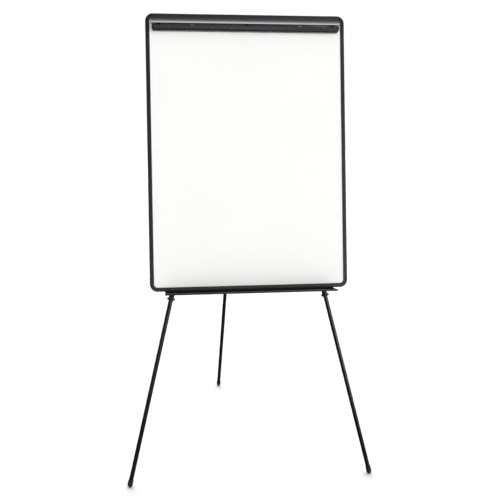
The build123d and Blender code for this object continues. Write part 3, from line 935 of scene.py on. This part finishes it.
class SpringRecipe(Recipe):
    """A close coil along X with straight feet, all of one round wire."""

    def __init__(self) -> None:
        """Build the tree. The start mesh's edges are the two feet."""
        metre = "NodeSocketFloat"
        super().__init__(
            "torsion_spring",
            {
                "Coil Radius": (metre, 0.0023),
                "Wire Radius": (metre, 0.0005),
                "Coil Length": (metre, 0.01),
                "Turns": (metre, 8.0),
                "Coil Start": ("NodeSocketVector", None),
            },
        )
        given = self.given
        coil = self.add(
            "GeometryNodeCurveSpiral",
            {"Resolution": 20},
            {
                "Rotations": given["Turns"],
                "Start Radius": given["Coil Radius"],
                "End Radius": given["Coil Radius"],
                "Height": given["Coil Length"],
            },
        )
        laid = self.add(
            "GeometryNodeTransform",
            {"Rotation": (0, math.radians(90), 0)},
            {"Geometry": coil.outputs[0], "Translation": given["Coil Start"]},
        )
        feet = self.add("GeometryNodeMeshToCurve", links={"Mesh": given["Start"]})
        wires = self.add("GeometryNodeJoinGeometry")
        for part in (laid.outputs[0], feet.outputs[0]):
            self.tree.links.new(part, wires.inputs[0])
        round_wire = self.add(
            "GeometryNodeCurvePrimitiveCircle", {"Resolution": 10}, {"Radius": given["Wire Radius"]}
        )
        drawn = self.add(
            "GeometryNodeCurveToMesh",
            {"Fill Caps": True},
            {"Curve": wires.outputs[0], "Profile Curve": round_wire.outputs[0]},
        )
        self.close(drawn.outputs[0], sharp_deg=50.0)


class FlutingRecipe(Recipe):
    """Presses flutes and a pair of wings into the outside of a turned collar."""

    def __init__(self) -> None:
        """Build the tree. The start mesh is the plain collar, turned about Z, in millimetres."""
        size = "NodeSocketFloat"
        super().__init__(
            "fluted_collar",
            {
                "Flutes": (size, 20.0),
                "Flute Depth": (size, 0.5),
                "Grip Radius": (size, 12.6),
                "Zone Low": (size, -1028.0),
                "Zone High": (size, -1021.0),
                "Wing Reach": (size, 1.6),
                "Wing Half Width": (size, 2.0),
            },
        )
        given = self.given
        at = self.add("GeometryNodeInputPosition").outputs[0]
        x, y, z = self.add("ShaderNodeSeparateXYZ", links={0: at}).outputs
        squares = self.sum("MULTIPLY", x, x), self.sum("MULTIPLY", y, y)
        away = self.sum("SQRT", self.sum("ADD", *squares))
        angle = self.sum("ARCTAN2", y, x)
        inside = self.sum(
            "MULTIPLY",
            self.sum("GREATER_THAN", away, given["Grip Radius"]),
            self.sum(
                "MULTIPLY",
                self.sum("GREATER_THAN", z, given["Zone Low"]),
                self.sum("LESS_THAN", z, given["Zone High"]),
            ),
        )
        # Each flute is a rounded hollow, and the land between two is wider than the flute.
        wave = self.sum("COSINE", self.sum("MULTIPLY", angle, given["Flutes"]))
        hollow = self.sum("POWER", self.sum("MAXIMUM", wave, 0.0), 1.5)
        wing = self.sum("LESS_THAN", self.sum("ABSOLUTE", y), given["Wing Half Width"])
        sunk = self.sum("MULTIPLY", hollow, given["Flute Depth"])
        flat = self.sum("SUBTRACT", 1.0, wing)
        push = self.sum(
            "SUBTRACT",
            self.sum("MULTIPLY", wing, given["Wing Reach"]),
            self.sum("MULTIPLY", sunk, flat),
        )
        scale = self.sum(
            "ADD", 1.0, self.sum("DIVIDE", self.sum("MULTIPLY", push, inside), away)
        )
        moved = self.add(
            "ShaderNodeCombineXYZ",
            links={0: self.sum("MULTIPLY", x, scale), 1: self.sum("MULTIPLY", y, scale), 2: z},
        )
        pressed = self.add(
            "GeometryNodeSetPosition",
            links={"Geometry": given["Start"], "Position": moved.outputs[0]},
        )
        self.close(pressed.outputs[0], sharp_deg=48.0)


class RibRecipe(Recipe):
    """Low half-round ribs along X, one at each vertex of the start mesh."""

    def __init__(self) -> None:
        """Build the tree. The start mesh's vertices are the ribs' middles, in board millimetres."""
        size = "NodeSocketFloat"
        super().__init__("long_ribs", {"Rib Radius": (size, 0.6), "Rib Length": (size, 600.0)})
        given = self.given
        rod = self.add(
            "GeometryNodeMeshCylinder",
            {"Vertices": 14},
            {"Radius": given["Rib Radius"], "Depth": given["Rib Length"]},
        )
        placed = self.add(
            "GeometryNodeInstanceOnPoints",
            {"Rotation": (0, math.radians(90), 0)},
            {"Points": given["Start"], "Instance": rod.outputs["Mesh"]},
        )
        self.close(placed.outputs[0], sharp_deg=50.0)


SCREWS = ScrewRecipe()
CHANNEL = ChannelRecipe()
SPRING = SpringRecipe()
FLUTING = FlutingRecipe()
RIBS = RibRecipe()


# ---------------------------------------------------------------- sub-assemblies


@dataclass
class BoardPanel:
    """The dry-erase sheet, its corrugated core and its paper back."""

    body: str = "board"

    def build(self) -> None:
        """Finish the three flat layers, whose CAD shapes are right."""
        repaint("board_surface", MELAMINE)
        repaint("board_core", CORRUGATED)
        repaint("board_back_sheet", LINER)


@dataclass
class BoardFrame:
    """Four channel rails joined by rounded corner pieces."""

    width: float = 737.0
    height: float = 1008.0
    face: float = 15.5
    depth: float = 15.0
    web: float = 5.0  # solid outer wall of the channel
    front_lip: float = 2.0
    back_lip: float = 3.0
    front_round: float = 2.2
    small_round: float = 1.4
    corner_radius: float = 28.0
    corner_reach: float = 60.0
    seam: float = 0.3
    rail_inset: float = 0.25  # the rails sit this far inside the frame's true outline
    corner_inset: float = 0.05  # the corner pieces, a little proud of the rails
    body: str = "board"

    def section(self, inset: float) -> bpy.types.Object:
        """The channel's section as a closed curve, its skin corner at the origin.

        A sweep lays the section's X outwards and its Y towards the writer, so both are negative.

        Args:
            inset: How far its skin lies inside the full size.

        Returns:
            A curve object, to be removed after use.
        """
        lip, back = self.front_lip, self.depth - self.back_lip
        corners = [
            (inset, inset),
            (self.face - inset, inset),
            (self.face - inset, lip),
            (self.web, lip),
            (self.web, back),
            (self.face - inset, back),
            (self.face - inset, self.depth - inset),
            (inset, self.depth - inset),
        ]
        tiny = 0.25
        radii = [
            self.front_round, self.small_round, tiny, 0.0, 0.0, tiny, self.small_round, self.small_round,
        ]
        outline = rounded(corners, radii, steps=6)
        curve = bpy.data.curves.new("channel_section", "CURVE")
        curve.dimensions = "2D"
        spline = curve.splines.new("POLY")
        spline.points.add(len(outline) - 1)
        for point, (across, into) in zip(spline.points, outline):
            point.co = (-across * MM, -into * MM, 0, 1)
        spline.use_cyclic_u = True
        section = bpy.data.objects.new("channel_section", curve)
        bpy.context.scene.collection.objects.link(section)
        return section

    def sweep(
        self,
        name: str,
        path: list[tuple[float, float]],
        inset: float,
        finish: Finish,
        node: str,
    ) -> None:
        """Sweep the channel along part of the frame's outer edge.

        Args:
            name: The piece's name.
            path: Outer edge points (x, up), going round anticlockwise as the writer sees it.
            inset: How far the skin lies inside the full size.
            finish: The plastic.
            node: The CAD node it replaces.
        """
        section = self.section(inset)
        start = bpy.data.meshes.new(name)
        points = [(x * MM, up * MM, 0) for x, up in path]
        start.from_pydata(points, [(n, n + 1) for n in range(len(points) - 1)], [])
        values = {"Section": section, "Corner Radius": self.corner_radius * MM}
        mesh = CHANNEL.run(start, finish, values)
        bpy.data.objects.remove(section)
        # The sweep lies flat: x, up, and into the board along its Z.
        upright = Matrix(((1, 0, 0, 0), (0, 0, 1, 0), (0, 1, 0, 0), (0, 0, 0, 1)))
        mesh.transform(BOARD.matrix() @ Matrix.Scale(1 / MM, 4) @ upright)
        shape = bmesh.new()
        shape.from_mesh(mesh)
        bmesh.ops.recalc_face_normals(shape, faces=shape.faces)
        shape.to_mesh(mesh)
        shape.free()
        dress(name, mesh, finish, self.body, (node,))

    def build(self) -> None:
        """Sweep the rails and the corner pieces."""
        half, top, reach = self.width / 2, self.height, self.corner_reach
        gap = reach + self.seam
        rails = {
            Edge.BOTTOM: ([(-half + gap, 0), (half - gap, 0)], RAIL_ABS),
            Edge.RIGHT: ([(half, gap), (half, top - gap)], RAIL_ABS_UPRIGHT),
            Edge.TOP: ([(half - gap, top), (-half + gap, top)], RAIL_ABS),
            Edge.LEFT: ([(-half, top - gap), (-half, gap)], RAIL_ABS_UPRIGHT),
        }
        for edge, (path, finish) in rails.items():
            self.sweep(
                f"{edge.value}_rail_channel",
                path,
                self.rail_inset,
                finish,
                f"frame_rail_{edge.value}",
            )
        corners = {
            "bottom_left": [(-half, reach), (-half, 0), (-half + reach, 0)],
            "bottom_right": [(half - reach, 0), (half, 0), (half, reach)],
            "top_right": [(half, top - reach), (half, top), (half - reach, top)],
            "top_left": [(-half + reach, top), (-half, top), (-half, top - reach)],
        }
        for where, path in corners.items():
            self.sweep(
                f"{where}_corner_cap",
                path,
                self.corner_inset,
                CORNER_ABS,
                f"frame_corner_{where}",
            )


@dataclass
class PadClamp:
    """Cove header, sprung stepped bar and what hinges them."""

    hinge_out: float = 11.6
    hinge_up: float = 961.8
    spring_xs: tuple[float, float] = (-200.0, 200.0)
    spring_length: float = 12.0
    coil_radius: float = 2.35
    wire_radius: float = 0.5
    coil_turns: float = 8.5
    upper_foot: tuple[float, float] = (3.0, 968.6)  # (out, up) of each foot's end
    lower_foot: tuple[float, float] = (11.6, 950.8)
    screw_xs: tuple[float, ...] = (-290.0, -100.0, 100.0, 290.0)
    screw_up: float = 995.0
    rail_back: float = 15.0

    def spring(self, name: str, x: float, node: str) -> None:
        """Wind one torsion spring round the hinge pin.

        Args:
            name: The piece's name.
            x: The middle of its coil.
            node: The CAD node it replaces.
        """
        low = x - self.spring_length / 2 + 1
        high = x + self.spring_length / 2 - 1
        into = -self.hinge_out
        place = BOARD.matrix()
        feet = [
            (low, into, self.hinge_up + self.coil_radius),
            (low, -self.upper_foot[0], self.upper_foot[1]),
            (high, into + 0.8, self.hinge_up - self.coil_radius),
            (high, -self.lower_foot[0], self.lower_foot[1]),
        ]
        start = bpy.data.meshes.new(name)
        start.from_pydata([Vector(p) * MM for p in feet], [(0, 1), (2, 3)], [])
        values = {
            "Coil Radius": self.coil_radius * MM,
            "Wire Radius": self.wire_radius * MM,
            "Coil Length": (high - low) * MM,
            "Turns": self.coil_turns,
            "Coil Start": Vector((low, into, self.hinge_up)) * MM,
        }
        mesh = SPRING.run(start, SPRING_WIRE, values)
        mesh.transform(place @ Matrix.Scale(1 / MM, 4))
        dress(name, mesh, SPRING_WIRE, "board", (node,))

    def build(self) -> None:
        """Build the header, the bar, its strip and caps, the springs and the screws."""
        eased_copy(
            "cove_header", "clamp_header", HEADER_PVC, "board", 0.4, 38.0
        )
        eased_copy("ribbed_clamp_bar", "clamp_bar", BAR_ABS, "clamp", 0.35)
        eased_copy(
            "pad_grip_strip", "clamp_grip_strip", GRIP_EPDM, "clamp", 0.5
        )
        for side in ("left", "right"):
            eased_copy(
                f"{side}_bar_cap", f"clamp_end_cap_{side}", CAP_ABS, "clamp", 0.6
            )
        repaint("clamp_hinge_pin", SPRING_WIRE)
        for side, x in zip(("left", "right"), self.spring_xs):
            self.spring(f"{side}_torsion_spring", x, f"clamp_spring_{side}")
        seats = [(x, self.rail_back, self.screw_up) for x in self.screw_xs]
        values = {"Head Radius": 3.5 * MM, "Head Height": 2.0 * MM, "Shank Length": 17.0 * MM}
        mesh = SCREWS.field(
            "header_screws", seats, (0, 1, 0), BOARD.matrix(), BLACK_ZINC, values
        )
        dress(
            "header_screws", mesh, BLACK_ZINC, "board", ("clamp_header_screws",)
        )


@dataclass
class MarkerTray:
    """Trough under the bottom rail, with its end caps and screws."""

    screw_xs: tuple[float, ...] = (-250.0, 0.0, 250.0)
    screw_into: float = 7.5
    wall: float = 1.8
    floor_top: float = -7.6
    rib_outs: tuple[float, ...] = (8.0, 14.0, 20.0, 26.0, 32.0, 38.0)
    rib_radius: float = 0.7
    rib_proud: float = 0.3
    rib_length: float = 616.0

    def build(self) -> None:
        """Build the trough, the anti-roll ribs in it, the caps and the screws."""
        eased_copy("marker_trough", "marker_tray", TRAY_ABS, "board", 0.4)
        for side in ("left", "right"):
            eased_copy(
                f"{side}_tray_cap", f"tray_end_cap_{side}", CAP_ABS, "board", 0.4
            )
        start = bpy.data.meshes.new("trough_ribs")
        rise = self.floor_top + self.rib_proud - self.rib_radius
        start.from_pydata([(0, -out, rise) for out in self.rib_outs], [], [])
        values = {"Rib Radius": self.rib_radius, "Rib Length": self.rib_length}
        ribs = RIBS.run(start, TRAY_ABS, values)
        ribs.transform(BOARD.matrix())
        dress("trough_ribs", ribs, TRAY_ABS, "board", ())
        seats = [(x, self.screw_into, -self.wall) for x in self.screw_xs]
        values = {"Head Radius": 3.5 * MM, "Head Height": 2.0 * MM, "Shank Length": 6.0 * MM}
        mesh = SCREWS.field("tray_fixings", seats, (0, 0, -1), BOARD.matrix(), BLACK_ZINC, values)
        dress("tray_fixings", mesh, BLACK_ZINC, "board", ("tray_screws",))


@dataclass
class TripodHead:
    """Steel plate and moulded block that carry the three leg pivots."""

    pivot_up: float = 966.0
    plate_back: float = 14.5
    block_back: float = 44.3
    plate_screw_x: float = 66.0
    plate_screw_ups: tuple[float, float] = (-31.0, 19.0)
    block_screw_x: float = 27.0

    def build(self) -> None:
        """Build the plate, the block, their screws and the pivot pins."""
        eased_copy("steel_head_plate", "head_plate", PLATE_COAT, "board", 0.5)
        eased_copy("tripod_block", "head_block", HEAD_NYLON, "board", 0.7)
        for which in ("left", "right", "rear"):
            eased_copy(
                f"{which}_pivot", f"pivot_pin_{which}", BLACK_ZINC, "board", 0.3
            )
        place = BOARD.matrix()
        seats = [
            (side * self.plate_screw_x, self.plate_back, self.pivot_up + up)
            for side in (-1, 1)
            for up in self.plate_screw_ups
        ]
        values = {
            "Head Radius": 3.8 * MM,
            "Head Height": 2.4 * MM,
            "Shank Radius": 2.0 * MM,
            "Shank Length": 10.0 * MM,
            "Recess Width": 0.9 * MM,
        }
        mesh = SCREWS.field("plate_fixings", seats, (0, 1, 0), place, BLACK_ZINC, values)
        dress("plate_fixings", mesh, BLACK_ZINC, "board", ("head_plate_screws",))
        seats = [(side * self.block_screw_x, self.block_back, self.pivot_up) for side in (-1, 1)]
        values = {
            "Head Radius": 4.5 * MM,
            "Head Height": 3.0 * MM,
            "Shank Radius": 2.5 * MM,
            "Shank Length": 30.0 * MM,
            "Recess Width": 1.1 * MM,
            "Recess Depth": 1.8 * MM,
        }
        mesh = SCREWS.field("block_fixings", seats, (0, 1, 0), place, BLACK_ZINC, values)
        dress("block_fixings", mesh, BLACK_ZINC, "board", ("head_block_screws",))


@dataclass
class LegClips:
    """Hooks on the bottom rail's back that hold the splayed front legs."""

    screw_x: float = 268.1
    seat_into: float = 18.0
    screw_up: float = 7.75

    def build(self) -> None:
        """Build both hooks and their screws."""
        for side in ("left", "right"):
            eased_copy(
                f"{side}_leg_hook", f"leg_clip_{side}", HEAD_NYLON, "board", 0.4
            )
        seats = [(side * self.screw_x, self.seat_into, self.screw_up) for side in (-1, 1)]
        values = {"Head Radius": 3.2 * MM, "Head Height": 2.0 * MM, "Shank Length": 8.0 * MM}
        mesh = SCREWS.field(
            "hook_fixings", seats, (0, 1, 0), BOARD.matrix(), BLACK_ZINC, values
        )
        dress("hook_fixings", mesh, BLACK_ZINC, "board", ("leg_clip_screws",))


@dataclass
class TelescopicLeg:
    """One two-section leg: knuckle, tubes, twist collar and foot."""

    name: LegName
    length: float  # pivot to the foot's round centre
    upper_radius: float = 9.525
    upper_wall: float = 1.0
    tube_start: float = 17.0
    upper_end: float = 1019.0
    lower_radius: float = 8.0
    lower_wall: float = 0.9
    lower_length: float = 930.0
    nut_radius: float = 13.0
    nut_bottom: float = 1029.0
    foot_radius: float = 10.0
    foot_sleeve: float = 16.0
    tube_segments: int = 64

    def tube(self, outer: float, wall: float, top: float, bottom: float) -> bmesh.types.BMesh:
        """A tube with rolled ends.

        Args:
            outer: Outer radius.
            wall: Wall thickness.
            top: Where it starts below the pivot.
            bottom: Where it ends.

        Returns:
            The tube in leg millimetres.
        """
        corners = [(outer, top), (outer, bottom), (outer - wall, bottom), (outer - wall, top)]
        return lathe(rounded(corners, [0.45] * 4, steps=4), True, self.tube_segments)

    def collar(self) -> bpy.types.Mesh:
        """The twist collar: turned, then fluted and winged.

        Returns:
            Its mesh, in the frame.
        """
        bottom, radius = self.nut_bottom, self.nut_radius
        bore = self.lower_radius + 0.15
        mouth = self.upper_radius + 0.09
        flank = [(radius, bottom - 8 + step * 0.75) for step in range(9)]
        outline = [
            (11.0, 1017.4), (11.05, 1018.5), (11.2, 1020.0), (11.9, 1020.9), (12.65, 1021.3),
            *[(radius, below) for _, below in flank if below > 1021.4],
            (radius, bottom - 1.1), (12.7, bottom - 0.4), (12.2, bottom),
            (bore + 0.3, bottom), (bore, bottom - 0.3),
            (bore, 1027.2), (mouth, 1027.2), (mouth, 1017.3), (mouth + 0.3, 1017.0), (10.7, 1017.0),
        ]
        turned = lathe(outline, True, 240)
        start = bpy.data.meshes.new("collar_blank")
        turned.to_mesh(start)
        turned.free()
        values = {"Grip Radius": 12.6, "Zone Low": -(bottom - 0.9), "Zone High": -1021.4}
        mesh = FLUTING.run(start, COLLAR_ABS, values)
        mesh.transform(LegSpace(self.name).matrix())
        return mesh

    def foot(self) -> bpy.types.Mesh:
        """The round-ended rubber foot, ringed twice and flattened where it stands.

        Returns:
            Its mesh, in the frame.
        """
        centre, radius = self.length, self.foot_radius
        steps = 16
        angles = [math.pi / 2 * n / steps for n in range(steps + 1)]
        ball = [(radius * math.sin(a), centre + radius * math.cos(a)) for a in angles]
        side = []
        samples = 44
        for n in range(1, samples):
            above = self.foot_sleeve * n / samples
            plain = radius - 0.7 * above / self.foot_sleeve
            ring = max(0.0, *(math.sqrt(max(0.0, 0.8**2 - (above - at) ** 2)) for at in (5.0, 9.0)))
            side.append((max(plain, radius - 0.6 + ring) if ring else plain, centre - above))
        top = centre - self.foot_sleeve
        bore = self.lower_radius + 0.02
        rim = [(9.3, top + 0.5), (9.05, top + 0.12), (8.8, top), (bore + 0.2, top), (bore, top + 0.2)]
        floor = [(bore, centre - 1.0), (0.0, centre - 1.0)]
        shape = lathe([*ball, *side, *rim, *floor], False, 48)
        place = LegSpace(self.name).matrix()
        bmesh.ops.transform(shape, matrix=place, verts=shape.verts)
        cut = bmesh.ops.bisect_plane(
            shape,
            geom=[*shape.verts, *shape.edges, *shape.faces],
            plane_co=(0, 0, 0),
            plane_no=(0, 0, -1),
            clear_outer=True,
        )
        rim_edges = [part for part in cut["geom_cut"] if isinstance(part, bmesh.types.BMEdge)]
        bmesh.ops.contextual_create(shape, geom=rim_edges)
        bmesh.ops.recalc_face_normals(shape, faces=shape.faces)
        return to_frame(shape, Matrix.Identity(4), "foot")

    def build(self) -> None:
        """Build the leg's pieces on their three bodies."""
        which = self.name.value
        upper, nut, lower = f"leg_upper_{which}", f"leg_nut_{which}", f"leg_lower_{which}"
        place = LegSpace(self.name).matrix()
        tube = self.tube(self.upper_radius, self.upper_wall, self.tube_start, self.upper_end)
        dress(
            f"{which}_upper_leg_tube",
            to_frame(tube, place, "upper"),
            TUBE_COAT,
            upper,
            (f"upper_tube_{which}",),
        )
        eased_copy(
            f"{which}_knuckle", f"tube_knuckle_{which}", COLLAR_ABS, upper, 0.5
        )
        repaint(f"tube_bush_{which}", NATURAL_NYLON)
        dress(
            f"{which}_twist_collar",
            self.collar(),
            COLLAR_ABS,
            nut,
            (f"lock_nut_{which}",),
        )
        tube_end = self.length - 1
        tube = self.tube(
            self.lower_radius, self.lower_wall, tube_end - self.lower_length, tube_end
        )
        dress(
            f"{which}_lower_leg_tube",
            to_frame(tube, place, "lower"),
            SLIDE_COAT,
            lower,
            (f"lower_tube_{which}",),
        )
        repaint(f"tube_glide_{which}", NATURAL_NYLON)
        dress(
            f"{which}_rubber_foot", self.foot(), FOOT_RUBBER, lower, (f"foot_{which}",)
        )


# ---------------------------------------------------------------- studio


@dataclass
class Studio:
    """Paper floor, soft light and the camera. Lengths here are in metres."""

    floor_half: float = 30.0
    camera_place: tuple[float, float, float] = (-0.4458, -3.1135, 1.3328)
    camera_yaw_deg: float = 6.880  # to the right of straight on
    camera_pitch_deg: float = 9.078  # below the horizon
    lens_mm: float = 54.012
    shift: tuple[float, float] = (0.0661, -0.0207)
    ceiling_way: tuple[float, float, float] = (0.1, 0.6, 0.79)  # the middle of the ceiling's glow
    ceiling_glow: float = 8.5
    strip_height: float = 0.02  # of the bright strip of wall, as the sine of its elevation
    strip_half: float = 0.16
    strip_glow: float = 2.2
    ceiling_focus: float = 5.0  # power of the cosine that the ceiling's glow falls off with
    wall_heights: tuple[float, float] = (0.0, 0.8)  # sines of elevation
    wall_glow: tuple[float, float] = (0.16, 0.5)
    wall_sides: tuple[float, float] = (-0.55, 0.35)  # from the left to the right
    side_share: tuple[float, float] = (0.12, 1.15)
    seen_white: float = 1.05

    def floor(self) -> None:
        """Lay the paper."""
        mesh = bpy.data.meshes.new("studio_floor")
        reach = self.floor_half
        corners = [(-reach, -reach, 0), (reach, -reach, 0), (reach, reach, 0), (-reach, reach, 0)]
        mesh.from_pydata(corners, [], [(0, 1, 2, 3)])
        mesh.materials.append(PAINTS.of(STUDIO_PAPER))
        floor = bpy.data.objects.new("studio_floor", mesh)
        bpy.context.scene.collection.objects.link(floor)
        floor.visible_glossy = False  # gloss mirrors the dimmer walls below the horizon

    def bank(
        self, name: str, towards: tuple[float, float, float], wide_deg: float, strength: float,
        glossy: bool = True,
    ) -> None:
        """Hang one large, far, round bank of light, so that it falls evenly on the whole floor.

        Args:
            name: The light's name.
            towards: The way from the easel to the bank.
            wide_deg: How wide it looks from the easel.
            strength: Light that it throws on a surface facing it.
            glossy: Whether shiny surfaces mirror it.
        """
        light = bpy.data.lights.new(name, "SUN")
        light.angle = math.radians(wide_deg)
        light.energy = strength
        lamp = bpy.data.objects.new(name, light)
        lamp.location = Vector(towards).normalized() * 4
        lamp.visible_glossy = glossy
        lamp.rotation_euler = Vector(towards).to_track_quat("Z", "Y").to_euler()
        bpy.context.scene.collection.objects.link(lamp)

    def surroundings(self) -> None:
        """Make the walls: white to the eye, and as light, brighter overhead and to the right."""
        world = bpy.data.worlds.new("studio_walls")
        bpy.context.scene.world = world
        world.use_nodes = True
        tree = world.node_tree
        tree.nodes.clear()
        way = add_node(tree, "ShaderNodeTexCoord").outputs["Generated"]
        x, _, z = add_node(tree, "ShaderNodeSeparateXYZ", links={0: way}).outputs

        def ramp(
            value: bpy.types.NodeSocket,
            ends: tuple[float, float],
            levels: tuple[float, float],
            kind: str = "LINEAR",
        ) -> bpy.types.NodeSocket:
            """Map a value from its two ends to two levels."""
            sizes = {"From Min": ends[0], "From Max": ends[1]}
            sizes |= {"To Min": levels[0], "To Max": levels[1]}
            node = add_node(
                tree, "ShaderNodeMapRange", sizes, {"Value": value}, interpolation_type=kind
            )
            return node.outputs[0]

        def sum_of(operation: str, values: dict, links: dict) -> bpy.types.NodeSocket:
            """Do one step of arithmetic."""
            return add_node(tree, "ShaderNodeMath", values, links, operation=operation).outputs[0]

        level = sum_of("SUBTRACT", {1: self.strip_height}, {0: z})
        off_strip = sum_of("ABSOLUTE", {}, {0: level})
        strip = ramp(off_strip, (0.0, self.strip_half), (self.strip_glow, 0.0))
        rise = sum_of("ADD", {}, {0: ramp(z, self.wall_heights, self.wall_glow), 1: strip})
        sideways = ramp(x, self.wall_sides, self.side_share, "SMOOTHSTEP")
        walls = sum_of("MULTIPLY", {}, {0: rise, 1: sideways})
        facing = add_node(
            tree, "ShaderNodeVectorMath", {1: self.ceiling_way}, {0: way}, operation="DOT_PRODUCT"
        ).outputs["Value"]
        above = sum_of("MAXIMUM", {1: 0.0}, {0: facing})
        lobe = sum_of("POWER", {1: self.ceiling_focus}, {0: above})
        glow = sum_of("MULTIPLY_ADD", {1: self.ceiling_glow}, {0: lobe, 2: walls})
        seen = add_node(tree, "ShaderNodeLightPath").outputs["Is Camera Ray"]
        strength = add_node(
            tree, "ShaderNodeMix", {3: self.seen_white}, {0: seen, 2: glow}, data_type="FLOAT"
        ).outputs[0]
        sky = add_node(
            tree, "ShaderNodeBackground", {"Color": srgb("#ffffff")}, {"Strength": strength}
        )
        add_node(tree, "ShaderNodeOutputWorld", links={"Surface": sky.outputs[0]})

    def camera(self) -> None:
        """Stand the camera where the writer would look from, a little to the left."""
        lens = bpy.data.cameras.new("studio_camera")
        lens.lens = self.lens_mm
        lens.sensor_width = 36.0
        lens.shift_x, lens.shift_y = self.shift
        lens.clip_end = 200.0
        camera = bpy.data.objects.new("studio_camera", lens)
        camera.location = self.camera_place
        camera.rotation_euler = (
            math.radians(90 - self.camera_pitch_deg),
            0,
            math.radians(-self.camera_yaw_deg),
        )
        bpy.context.scene.collection.objects.link(camera)
        bpy.context.scene.camera = camera

    def build(self) -> None:
        """Set up the floor, the walls, the lights and the camera."""
        self.floor()
        self.surroundings()
        self.bank("key_bank", (0.75, -0.6, 0.28), 44, 1.0)
        self.bank("front_bank", (0.2, -0.97, 0.14), 80, 0.72, glossy=False)
        self.camera()
        bpy.context.scene.view_settings.view_transform = "Standard"


# ---------------------------------------------------------------- main


def main() -> None:
    """Build the easel's sub-assemblies in order, then the studio, logging each as it goes."""
    logging.basicConfig(level=logging.INFO, format="%(name)s: %(message)s")
    assemblies = [
        BoardPanel(),
        BoardFrame(),
        PadClamp(),
        MarkerTray(),
        TripodHead(),
        LegClips(),
        TelescopicLeg(LegName.LEFT, 1721.062),
        TelescopicLeg(LegName.RIGHT, 1721.062),
        TelescopicLeg(LegName.REAR, 1828.985),
        Studio(),
    ]
    for assembly in assemblies:
        LOG.info("building %s", type(assembly).__name__)
        assembly.build()


if __name__ == "__main__":
    main()
